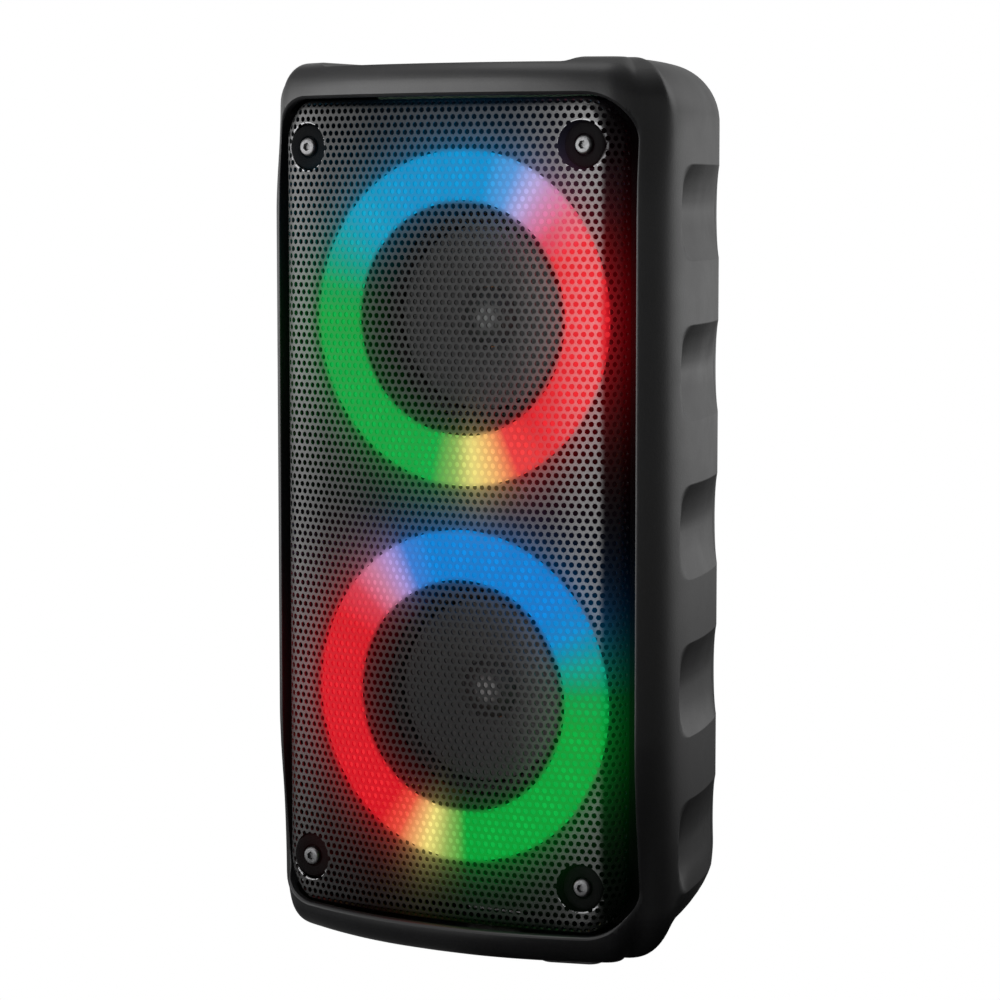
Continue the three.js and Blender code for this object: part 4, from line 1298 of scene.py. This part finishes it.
# Angle anticlockwise from +X seen from the front, in degrees, and display colour.
RING_COLOURS = {
    "upper": [
        (-180, (0, 165, 60)), (-102, (0, 172, 62)), (-92, (150, 190, 90)), (-84, (250, 232, 130)),
        (-76, (252, 190, 110)), (-66, (244, 60, 60)), (-50, (228, 6, 30)), (28, (230, 8, 32)),
        (40, (225, 70, 100)), (50, (212, 130, 178)), (58, (186, 170, 228)), (67, (90, 160, 232)),
        (78, (0, 146, 214)), (118, (0, 148, 206)), (140, (0, 160, 196)), (154, (0, 160, 150)),
        (168, (0, 162, 80)), (180, (0, 165, 60)),
    ],
    "lower": [
        (-180, (228, 8, 32)), (-126, (232, 12, 32)), (-117, (244, 80, 60)), (-110, (252, 180, 110)),
        (-104, (250, 232, 130)), (-96, (150, 190, 90)), (-88, (0, 170, 55)), (-10, (0, 168, 55)),
        (4, (0, 160, 70)), (16, (0, 156, 140)), (30, (0, 134, 205)), (44, (0, 128, 216)),
        (104, (0, 130, 218)), (114, (60, 130, 222)), (122, (180, 150, 216)),
        (130, (215, 130, 165)), (140, (228, 60, 80)), (152, (228, 10, 32)), (180, (228, 8, 32)),
    ],
}
RING_MID, RING_HALF = (RING_IN + RING_OUT) / 2, (RING_OUT - RING_IN) / 2


def from_ring(mat, xyz, k):
    """x and z in metres from the axis of ring k."""
    return xyz["X"], mat.math("SUBTRACT", xyz["Z"], RING_Z[k] / 1000)


def ring_colour(mat, point, k):
    """Colour by angle round ring k, and distance from its axis, for a point in metres."""
    x, z = from_ring(mat, mat.split(point), k)
    stops = [((angle + 180) / 360, srgb(*colour)) for angle, colour in RING_COLOURS[k]]
    return mat.ramp(mat.turns(z, x), stops), mat.hypot(x, z)


def ring_profile(mat, radius, inside, halo_out, halo_in, reach_out, reach_in):
    """inside over the band, with a halo fading over reach (mm) on either side of it."""

    def side(distance, halo, reach):
        falling = mat.math("MULTIPLY", mat.math("MAXIMUM", distance, 0), -1.0 / reach)
        fade = mat.math("MULTIPLY", mat.math("EXPONENT", falling), halo)
        rising = mat.math("MAXIMUM", mat.math("MULTIPLY_ADD", distance, 0.45, 0.5), 0)
        beyond = mat.math("SMOOTH_MIN", rising, 1.0, 0.1)
        return mat.math("SUBTRACT", 1.0, beyond, clamp=True), mat.math("MULTIPLY", beyond, fade)

    mm = mat.math("MULTIPLY", radius, 1000.0)
    within_out, glow_out = side(mat.math("SUBTRACT", mm, RING_OUT), halo_out, reach_out)
    within_in, glow_in = side(mat.math("SUBTRACT", RING_IN, mm), halo_in, reach_in)
    band = mat.math("MULTIPLY", mat.math("MULTIPLY", within_out, within_in), inside)
    return mat.math("ADD", mat.math("ADD", band, glow_out), glow_in)


def behind(mat):
    """Where the line of sight meets the plane of the rings, so the glow stays with the ring."""
    geometry = mat.new("ShaderNodeNewGeometry").outputs
    position, incoming = mat.split(geometry["Position"]), mat.split(geometry["Incoming"])
    slope = mat.math("MINIMUM", incoming["Y"], -0.35)
    gap = mat.math("SUBTRACT", RING_Y / 1000, position["Y"])
    scale = mat.new("ShaderNodeVectorMath", operation="SCALE")
    mat.feed(scale.inputs[0], geometry["Incoming"])
    mat.feed(scale.inputs["Scale"], mat.math("DIVIDE", gap, slope))
    add = mat.new("ShaderNodeVectorMath", operation="ADD")
    mat.feed(add.inputs[0], geometry["Position"])
    mat.feed(add.inputs[1], scale.outputs[0])
    return add.outputs[0]


def add_painted_glow(mat, point, **profile):
    """Painted glow: emission of both rings with their halos, given off by a surface that is no
    lamp.
    """
    total = None
    for k in ("upper", "lower"):
        colour, radius = ring_colour(mat, point, k)
        level = mat.math("MULTIPLY", ring_profile(mat, radius, **profile), 1.0)
        glow = mat.times(colour, level)
        total = glow if total is None else mat.mix(1.0, total, glow, "ADD")
    mat.surface(emission_color=total, emission_strength=1.0)


def ring_mask(mat, point):
    """1 over either light band, 0 away from it."""
    total = None
    for k in ("upper", "lower"):
        radius = mat.hypot(*from_ring(mat, mat.split(point), k))
        mm = mat.math("MULTIPLY", radius, 1000.0)
        off = mat.math("ABSOLUTE", mat.math("SUBTRACT", mm, RING_MID))
        node = mat.new("ShaderNodeMapRange", interpolation_type="SMOOTHSTEP")
        # value, then the range it comes from (mm) and the range it goes to
        for socket, value in zip(node.inputs, (off, RING_HALF + 5.0, RING_HALF - 1.6, 0.0, 1.0)):
            mat.feed(socket, value)
        mask = node.outputs[0]
        total = mask if total is None else mat.math("MAXIMUM", total, mask)
    return total


def axis_distance(mat, point):
    """Distance in metres to the nearer driver axis."""
    xyz = mat.split(point)
    upper, lower = (mat.hypot(*from_ring(mat, xyz, k)) for k in ("upper", "lower"))
    return mat.math("MINIMUM", upper, lower)


# ---------------------------------------------------------------- materials


def finish(name, colour, roughness, metallic, drift, drift_scale, grain_scale, grain_depth,
           rough_drift):
    """Moulded or metal surface: soft colour drift, varied roughness and a fine grain."""
    mat = Surface(name)
    colour = np.array(colour, float)
    body = mat.drift(
        colour * (1 - drift), colour * (1 + drift), scale=drift_scale, detail=4, rough=0.6
    )
    grain = mat.noise(scale=grain_scale, detail=2, rough=0.5)
    speck = mat.ramp(grain, [(0.35, 1 - drift * 0.8), (0.65, 1 + drift * 0.8)])
    low, high = max(0.02, roughness - rough_drift), min(1.0, roughness + rough_drift)
    mat.surface(
        base_color=mat.times(body, speck),
        roughness=mat.drift(low, high, scale=drift_scale * 2.3, detail=5, rough=0.6),
        metallic=metallic,
        normal=mat.bump(grain, depth=grain_depth),
    )
    return mat


# The arguments of finish: name, colour, roughness, metallic, colour drift,
# drift scale, grain scale, grain depth (m), roughness drift.
FINISHES = {
    "screw": ("bright_screw_steel", (0.17, 0.17, 0.173), 0.42, 1.0, 0.16,
              700, 1800, 0.00002, 0.06),
    "dark_screw": ("blackened_screw_steel", (0.09, 0.09, 0.092), 0.36, 0.9, 0.15,
                   300, 2600, 0.00004, 0.06),
    "magnet": ("ferrite_and_plate", (0.06, 0.06, 0.063), 0.5, 0.4, 0.2,
               160, 1800, 0.0001, 0.06),
    "rubber": ("butyl_rubber", (0.012, 0.012, 0.012), 0.72, 0, 0.15,
               120, 1600, 0.0001, 0.06),
    "foot": ("rubber_foot", (0.10, 0.10, 0.102), 0.7, 0, 0.15,
             120, 1800, 0.00012, 0.06),
    "basket": ("black_stamped_steel", (0.02, 0.02, 0.021), 0.45, 0.6, 0.2,
               120, 2400, 0.00005, 0.06),
    "panel": ("gloss_black_panel", (0.006, 0.006, 0.0065), 0.16, 0, 0.15,
              60, 2600, 0.000008, 0.03),
    "lens": ("clear_light_pipe", (0.55, 0.60, 0.66), 0.2, 0, 0.05,
             200, 2000, 0.00001, 0.03),
    "nickel": ("nickel_plate", (0.66, 0.65, 0.62), 0.22, 1.0, 0.08,
               300, 2600, 0.00002, 0.06),
    "port": ("matt_black_port", (0.010, 0.010, 0.0105), 0.52, 0, 0.15,
             80, 2000, 0.00006, 0.06),
    "cable": ("cable_sleeve", (0.18, 0.012, 0.012), 0.5, 0, 0.15,
              200, 2400, 0.00006, 0.06),
    "strap": ("battery_strap_steel", (0.4, 0.41, 0.42), 0.35, 1.0, 0.12,
              120, 2400, 0.00004, 0.06),
}
KEY_FINISH = ("rubberised_key", (0.028, 0.028, 0.029), 0.55, 0, 0.12, 160, 2600, 0.00005, 0.06)


def plastic():
    """Satin moulded plastic: fine grain, faint flow marks, slightly polished edges, and painted
    shade on surfaces facing down.
    """
    mat = Surface("satin_black_plastic")
    cells = mat.new("ShaderNodeTexVoronoi", feature="SMOOTH_F1")
    cells.inputs["Scale"].default_value = 1500.0
    mat.feed(cells.inputs["Vector"], mat.coords())
    coarse = mat.math("MULTIPLY", cells.outputs["Distance"], 0.6)
    fine = mat.math("MULTIPLY", mat.noise(scale=3200, detail=3, rough=0.6), 0.5)
    grain = mat.math("ADD", coarse, fine)
    flow = mat.noise(scale=16, detail=5, rough=0.65, stretch=(1.0, 1.0, 0.35))
    colour = mat.spread(flow, (0.0125, 0.0125, 0.013), (0.0165, 0.0165, 0.0172))
    colour = mat.times(colour, mat.ramp(grain, [(0.3, 0.88), (0.75, 1.12)]))
    worn = mat.ramp(mat.geometry("Pointiness"), [(0.515, 0.0), (0.58, 1.0)])
    colour = mat.mix(mat.math("MULTIPLY", worn, 0.35), colour, (0.030, 0.030, 0.031))
    rough = mat.drift(0.30, 0.36, scale=70, detail=5, rough=0.6)
    rough = mat.mix(mat.math("MULTIPLY", worn, 0.5), rough, (0.28, 0.28, 0.28))
    # painted shade: less reflection where the surface faces down, by the height the surface faces:
    # 0 straight down, 1 straight up
    facing = mat.math("MULTIPLY_ADD", mat.split(mat.geometry("Normal"))["Z"], 0.5, 0.5)
    painted_shade_specular = mat.ramp(facing, [
        (0.28, 0.03), (0.36, 0.035), (0.42, 0.08), (0.46, 0.17), (0.485, 0.36), (0.50, 0.50),
        (0.515, 0.46), (0.56, 0.36), (0.66, 0.46), (0.75, 0.50), (1.0, 0.45),
    ])
    normal = mat.bump(grain, depth=0.00006, strength=0.55)
    mat.surface(base_color=colour, roughness=rough, specular_ior_level=painted_shade_specular, normal=normal)
    return mat


def bare_edges_and_glints(mat, base, xyz):
    """Bare metal edges with painted highlights, in patches round the grille's screw cut-outs; at
    the bottom screws only on the lower arc, where light from above catches them.
    """
    for k, screw in SCREWS.items():
        x = mat.math("SUBTRACT", xyz["X"], screw[0] / 1000)
        z = mat.math("SUBTRACT", xyz["Z"], screw[2] / 1000)
        mm = mat.math("MULTIPLY", mat.hypot(x, z), 1000.0)
        off = mat.math("ABSOLUTE", mat.math("SUBTRACT", mm, POST_R + 0.55))
        near = mat.math("LESS_THAN", off, 0.30)
        if k.startswith("bottom"):
            near = mat.math("MULTIPLY", near, mat.math("LESS_THAN", z, -0.0035))
        patch = mat.math("GREATER_THAN", mat.noise(scale=420, detail=2, rough=0.5), 0.43)
        near = mat.math("MULTIPLY", near, patch)
        # painted highlight: bright at the bottom screws, dim at the top ones
        metal = (0.24, 0.24, 0.245) if k.startswith("top") else (0.75, 0.75, 0.76)
        base = mat.mix(mat.math("MULTIPLY", near, 0.9), base, metal)
    return base


def grille_material():
    """Semi-gloss black coated steel, with painted reflections and a painted glow from the light
    rings behind it.
    """
    mat = Surface("black_coated_steel_mesh")
    peel = mat.noise(scale=900, detail=3, rough=0.6)
    fine = mat.noise(scale=5200, detail=2, rough=0.5)
    xyz = mat.split(mat.coords())
    # painted reflections: greyer toward the two upright edges, where the curved sheet shows sheen,
    # and dark past the bend at the right; 0 to 1 spans 140 mm across
    base = mat.ramp(mat.math("MULTIPLY_ADD", xyz["X"], 1000 / 140.0, 0.5), [
        (0.03, 0.085), (0.10, 0.072), (0.19, 0.030), (0.34, 0.013), (0.55, 0.0135),
        (0.70, 0.020), (0.80, 0.045), (0.87, 0.100), (0.908, 0.110), (0.922, 0.015),
    ])
    base = mat.times(base, mat.spread(fine, 0.85, 1.15))
    base = mat.times(base, mat.drift(0.92, 1.08, scale=30, detail=4, rough=0.6))
    point = behind(mat)
    # painted: the web's colour is darkened over the rings, less so at the right of the upper half,
    # so that the painted glow shows there
    lighter = mat.ramp(
        mat.math("MULTIPLY", xyz["X"], 10.0), [(0.30, 0.0), (0.46, 0.62), (0.58, 0.72)]
    )
    lighter = mat.math("MULTIPLY", mat.math("GREATER_THAN", xyz["Z"], 0.147), lighter)
    cover = mat.math("MULTIPLY", ring_mask(mat, point), mat.math("SUBTRACT", 0.92, lighter))
    base = mat.mix(cover, base, (0.002, 0.002, 0.002))
    mat.surface(
        base_color=bare_edges_and_glints(mat, base, xyz),
        metallic=0.9,
        roughness=mat.spread(peel, 0.30, 0.38),
        normal=mat.bump(peel, depth=0.00003, strength=0.5),
    )
    # painted glow: the web gives off the rings' light as if the rings shone through it
    add_painted_glow(mat, point, inside=0.80, halo_out=0.30, halo_in=0.20, reach_out=5.5, reach_in=4.0)
    return mat


def diffuser(k):
    """Milky ring: colour by angle, brighter at 24 spots and along the middle of the band."""
    mat = Surface("light_diffuser_" + k)
    point = mat.geometry("Position")
    colour, radius = ring_colour(mat, point, k)
    x, z = from_ring(mat, mat.split(point), k)
    wave = mat.math("COSINE", mat.math("MULTIPLY", mat.math("ARCTAN2", z, x), 24.0))
    spots = mat.math("MULTIPLY_ADD", wave, 0.06, 0.94)
    off = mat.math("SUBTRACT", mat.math("MULTIPLY", radius, 1000.0), RING_MID)
    t = mat.math("DIVIDE", off, RING_HALF)
    across = mat.math("MULTIPLY_ADD", mat.math("MULTIPLY", t, t), -0.16, 1.06)
    milk = mat.drift(0.95, 1.05, scale=260, detail=3, rough=0.6)
    grain = mat.noise(scale=1200, detail=2, rough=0.5)
    mat.surface(
        base_color=(0.006, 0.006, 0.006),
        emission_color=mat.times(mat.mix(0.02, colour, (0.2, 0.95, 0.8)), milk),
        emission_strength=mat.math("MULTIPLY", mat.math("MULTIPLY", spots, across), 1.06),
        specular_ior_level=0.06,
        roughness=mat.drift(0.62, 0.72, scale=400, detail=3, rough=0.5),
        normal=mat.bump(grain, depth=0.00004, strength=0.4),
    )
    return mat


def baffle_material():
    mat = Surface("matt_black_baffle")
    grain = mat.noise(scale=2400, detail=3, rough=0.6)
    mat.surface(
        base_color=mat.spread(grain, (0.0025, 0.0025, 0.0027), (0.0040, 0.0040, 0.0042)),
        roughness=mat.drift(0.72, 0.84, scale=80, detail=4, rough=0.6),
        specular_ior_level=0.07,
        normal=mat.bump(grain, depth=0.00006, strength=0.6),
    )
    # painted glow: the baffle gives off a halo of the rings' light round each ring
    point = mat.geometry("Position")
    add_painted_glow(mat, point, inside=0.10, halo_out=0.10, halo_in=0.06, reach_out=6.0, reach_in=3.5)
    return mat


def cone_material():
    """Paper pulp fibres, with faint painted light given off by distance from the axis."""
    mat = Surface("pulp_cone")
    fibre = mat.noise(scale=1400, detail=5, rough=0.7, stretch=(1, 1, 2.5))
    near = mat.math("MULTIPLY", axis_distance(mat, mat.geometry("Position")), 30.0)
    # painted light: the cone gives off a faint light between its neck and rim, as if lit through
    # the grille
    glow = [(0.30, 0.004), (0.36, 0.012), (0.60, 0.015), (0.88, 0.012), (0.91, 0.005)]
    mat.surface(
        base_color=mat.spread(fibre, (0.030, 0.030, 0.031), (0.045, 0.045, 0.046)),
        roughness=mat.drift(0.76, 0.88, scale=300, detail=4, rough=0.6),
        emission_color=mat.ramp(near, glow),
        emission_strength=1.0,
        normal=mat.bump(fibre, depth=0.0001, strength=0.6),
    )
    return mat


def cap_material():
    """Dust cap with a painted highlight: a soft bright spot given off at its middle."""
    mat = Surface("moulded_dust_cap")
    fibre = mat.noise(scale=1800, detail=3, rough=0.6)
    near = mat.math("MULTIPLY", axis_distance(mat, mat.geometry("Position")), 100.0)
    # painted highlight: emission at the middle of the cap
    mat.surface(
        base_color=mat.spread(fibre, (0.03, 0.03, 0.031), (0.045, 0.045, 0.046)),
        roughness=mat.drift(0.42, 0.5, scale=200, detail=4, rough=0.6),
        emission_color=mat.ramp(near, [(0.0, 0.085), (0.30, 0.07), (0.46, 0.010), (0.52, 0.0)]),
        emission_strength=1.0,
        normal=mat.bump(fibre, depth=0.00004, strength=0.5),
    )
    return mat


def board_material():
    mat = Surface("printed_board")
    brick = mat.new("ShaderNodeTexBrick")
    settings = {
        "Scale": 260.0, "Mortar Size": 0.03, "Color1": (0.012, 0.075, 0.03),
        "Color2": (0.010, 0.055, 0.024), "Mortar": (0.03, 0.13, 0.05), "Vector": mat.coords(),
    }
    for name, value in settings.items():
        mat.feed(brick.inputs[name], value)
    shade = mat.drift(0.85, 1.15, scale=900, detail=3, rough=0.6)
    mat.surface(
        base_color=mat.times(brick.outputs["Color"], shade),
        roughness=mat.drift(0.3, 0.42, scale=150, detail=3, rough=0.5),
        normal=mat.bump(brick.outputs["Fac"], depth=0.00004, strength=0.5),
    )
    return mat


def coil_material():
    mat = Surface("copper_winding")
    wave = mat.new("ShaderNodeTexWave", wave_type="BANDS", bands_direction="Y")
    wave.inputs["Scale"].default_value = 900.0
    mat.feed(wave.inputs["Vector"], mat.coords())
    turns = wave.outputs["Fac"]
    mat.surface(
        base_color=mat.ramp(turns, [(0.2, (0.35, 0.13, 0.05)), (0.8, (0.75, 0.33, 0.13))]),
        metallic=0.9,
        roughness=0.35,
        normal=mat.bump(turns, depth=0.0001, strength=0.6),
    )
    return mat


def key_material():
    """Soft-touch key with its sunken symbol filled in pale grey."""
    mat = finish(*KEY_FINISH)
    floor_z = (max(high[2] for _, high in KEY_BOX.values()) - MARK_DEPTH) / 1000
    height = mat.math("SUBTRACT", mat.split(mat.coords())["Z"], floor_z)
    sunk = mat.math("LESS_THAN", mat.math("ABSOLUTE", height), 0.00009)
    level = mat.math("GREATER_THAN", mat.split(mat.geometry("True Normal"))["Z"], 0.995)
    body = mat.bsdf.inputs["Base Color"].links[0].from_socket
    symbol = mat.math("MULTIPLY", sunk, level)
    mat.surface(base_color=mat.mix(symbol, body, (0.55, 0.55, 0.56)))
    return mat


def spider_material():
    mat = Surface("woven_spider")
    fibre = mat.noise(scale=2600, detail=4, rough=0.7)
    mat.surface(
        base_color=mat.spread(fibre, (0.32, 0.19, 0.06), (0.52, 0.34, 0.13)),
        roughness=mat.drift(0.8, 0.95, scale=300, detail=3, rough=0.5),
        normal=mat.bump(fibre, depth=0.0001, strength=0.7),
    )
    return mat


def battery_material():
    mat = Surface("battery_sleeve")
    low, high = (0.016, 0.075, 0.24), (0.022, 0.10, 0.31)
    wrinkle = mat.noise(scale=160, detail=4, rough=0.6, stretch=(0.3, 1, 1))
    mat.surface(
        base_color=mat.drift(low, high, scale=40, detail=4, rough=0.6),
        roughness=mat.drift(0.25, 0.45, scale=220, detail=4, rough=0.6),
        normal=mat.bump(wrinkle, depth=0.0004, strength=0.5),
    )
    return mat


surfaces = {
    "plastic": plastic(),
    "grille": grille_material(),
    "baffle": baffle_material(),
    "cone": cone_material(),
    "cap": cap_material(),
    "key": key_material(),
    "spider": spider_material(),
    "coil": coil_material(),
    "board": board_material(),
    "battery": battery_material(),
    "ring_upper": diffuser("upper"),
    "ring_lower": diffuser("lower"),
}
surfaces.update({key: finish(*values) for key, values in FINISHES.items()})

# ---------------------------------------------------------------- fitting to the frame


def paint(obj, surface):
    obj.data.materials.clear()
    obj.data.materials.append(surfaces[surface].material)


def fit(node, surface, body="cabinet"):
    obj = placed[node]
    paint(obj, surface)
    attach(obj, body)
    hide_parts(node)


fit("cabinet_front_shell", "plastic")
fit("cabinet_rear_cover", "plastic")
fit("front_grille", "grille")
fit("front_baffle", "baffle")
for k in DRIVERS:
    moving = "driver_moving_" + k
    fit("light_ring_" + k, "ring_" + k)
    fit("driver_basket_" + k, "basket")
    fit("driver_surround_" + k, "rubber")
    fit("driver_magnet_" + k, "magnet")
    fit("driver_spider_" + k, "spider")
    fit("driver_cone_" + k, "cone", moving)
    fit("dust_cap_" + k, "cap", moving)
    fit("voice_coil_" + k, "coil", moving)
for k in CORNERS:
    fit("front_screw_" + k, "screw")
for k in CORNERS:
    fit("rear_screw_" + k, "dark_screw")
for k in FOOT_TURN:
    fit("foot_" + k, "foot")
fit("control_panel", "panel")
for k, (_, body) in KEYS.items():
    fit(k, "key", body)
fit("status_light", "lens")
fit("socket_panel", "panel")
for k in ("usb_a_socket", "usb_c_socket", "line_in_jack", "microphone_jack"):
    fit(k, "nickel")
fit("power_switch", "key", "power_switch_slider")
fit("bass_port_tube", "port")

# the pieces inside keep their CAD shape: material and slot of each
INSIDE = {
    "led_board_lower": ("board", "board"),
    "led_board_upper": ("board", "board"),
    "key_board": ("board", "board"),
    "main_board": ("board", "board"),
    "battery_pack": ("battery", "battery"),
    "battery_strap": ("strap", "steel"),
    "speaker_cable_lower": ("cable", "cable"),
    "speaker_cable_upper": ("cable", "cable"),
    "battery_cable": ("cable", "cable"),
    "key_cable": ("cable", "cable"),
}
for node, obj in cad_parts.items():
    if obj.hide_render:
        continue
    surface, slot = INSIDE[node]
    paint(obj, surface)

# ---------------------------------------------------------------- floor and studio
# Brightness at eye level: azimuth anticlockwise from +X in degrees, level.
STUDIO = [
    (-180, 1.4), (-165, 3.4), (-150, 5.0), (-90, 5.0), (-80, 2.4), (-66, 0.40), (36, 0.34),
    (45, 0.45), (50, 1.8), (66, 1.5), (80, 0.95), (92, 0.60), (104, 0.42), (135, 0.6),
    (150, 0.6), (180, 1.4),
]


def studio_level(graph, xyz):
    peak = max(level for _, level in STUDIO)
    stops = [((azimuth + 180) / 360, level / peak) for azimuth, level in STUDIO]
    return graph.math("MULTIPLY", graph.ramp(graph.turns(xyz["Y"], xyz["X"]), stops), peak)


def camera_switch(graph, lighting, seen, output):
    """Output one shader to camera rays and another to all other rays."""
    mix = graph.new("ShaderNodeMixShader")
    camera_ray = graph.new("ShaderNodeLightPath").outputs["Is Camera Ray"]
    for socket, value in zip(mix.inputs, (camera_ray, lighting.outputs[0], seen.outputs[0])):
        graph.feed(socket, value)
    graph.feed(output.inputs[0], mix.outputs[0])


def floor_material():
    """White to the camera; to other rays it gives off the studio's light, with a painted shadow
    that dims it near the cabinet.
    """
    material = bpy.data.materials.new("pale_floor")
    graph = Graph(material)
    output = graph.new("ShaderNodeOutputMaterial")
    seen, lighting = graph.new("ShaderNodeEmission"), graph.new("ShaderNodeEmission")
    seen.inputs["Strength"].default_value = 1.0
    xyz = graph.split(graph.coords())
    level = studio_level(graph, xyz)
    quarter = graph.math("MULTIPLY", graph.hypot(xyz["X"], xyz["Y"]), 0.25)  # 1 at 4 m
    # painted shadow: the floor's light fades toward the cabinet
    painted_floor_shadow = graph.ramp(quarter, [
        (0.0, 0.04), (0.04, 0.06), (0.10, 0.16), (0.20, 0.28), (0.35, 0.50), (0.6, 0.85),
        (0.8, 1.0),
    ])
    graph.feed(lighting.inputs["Strength"], graph.math("MULTIPLY", level, painted_floor_shadow))
    camera_switch(graph, lighting, seen, output)
    return material


def build_world():
    world = bpy.data.worlds.new("studio")
    scene.world = world
    graph = Graph(world)
    output = graph.new("ShaderNodeOutputWorld")
    lighting, seen = graph.new("ShaderNodeBackground"), graph.new("ShaderNodeBackground")
    xyz = graph.split(graph.new("ShaderNodeTexCoord").outputs["Generated"])
    level = studio_level(graph, xyz)
    # elevation: 0.5 at the horizon, 1 overhead
    elevation = graph.math("MULTIPLY_ADD", graph.math("ARCSINE", xyz["Z"]), 1 / math.pi, 0.5)
    low = graph.ramp(elevation, [
        (0.5, 1.0), (0.53, 0.75), (0.58, 0.34), (0.66, 0.16), (0.85, 0.12),
    ])
    tall = graph.ramp(elevation, [
        (0.5, 1.0), (0.60, 1.0), (0.72, 0.85), (0.80, 0.4), (0.9, 0.2),
    ])
    # the light reaches higher over the azimuths where this is 1
    raised = graph.ramp(graph.turns(xyz["Y"], xyz["X"]), [
        (0.5, 0.0), (0.61, 0.0), (0.64, 1.0), (0.86, 1.0), (0.92, 0.0),
    ])
    around = graph.math("MULTIPLY", level, graph.mix(raised, low, tall))
    overhead = graph.ramp(elevation, [
        (0.62, 0.0), (0.72, 0.15), (0.82, 0.45), (0.90, 0.9), (1.0, 1.0),
    ])
    strength = graph.math("ADD", around, graph.math("MULTIPLY", overhead, 1.1))
    graph.feed(lighting.inputs["Strength"], strength)
    graph.feed(seen.inputs["Color"], (1, 1, 1))
    graph.feed(seen.inputs["Strength"], 1.0)
    camera_switch(graph, lighting, seen, output)


def softbox(name, azimuth, elevation, distance, size, power, aim):
    """Square softbox facing aim; angles in degrees from the aim point, azimuth from +X to +Y."""
    light = bpy.data.lights.new(name, "AREA")
    light.shape, light.size, light.size_y, light.energy = "RECTANGLE", size, size, power
    obj = add_object(name, light)
    a, e = math.radians(azimuth), math.radians(elevation)
    direction = np.array([math.cos(a) * math.cos(e), math.sin(a) * math.cos(e), math.sin(e)])
    obj.location = np.array(aim) + direction * distance
    obj.rotation_euler = Vector(direction).to_track_quat("Z", "Y").to_euler()


floor_mesh = bpy.data.meshes.new("floor")
floor_mesh.from_pydata([(-6, -6, 0), (6, -6, 0), (6, 6, 0), (-6, 6, 0)], [], [(0, 1, 2, 3)])
floor = add_object("floor", floor_mesh)
floor_mesh.materials.append(floor_material())
build_world()
softbox(
    "top_softbox", azimuth=-100, elevation=70, distance=1.2, size=0.7, power=1.5, aim=(0, 0, 0.15)
)

# ---------------------------------------------------------------- camera
camera_data = bpy.data.cameras.new("camera")
camera_data.lens, camera_data.sensor_width = 116.11, 36.0
camera_data.clip_start, camera_data.clip_end = 0.01, 50
camera = add_object("camera", camera_data)
camera.location = (0.53651, -0.944624, 0.25055)
camera.rotation_euler = (math.radians(84.551), 0, math.radians(29.834))
scene.camera = camera
scene.view_settings.view_transform = "Standard"
scene.view_settings.look = "None"
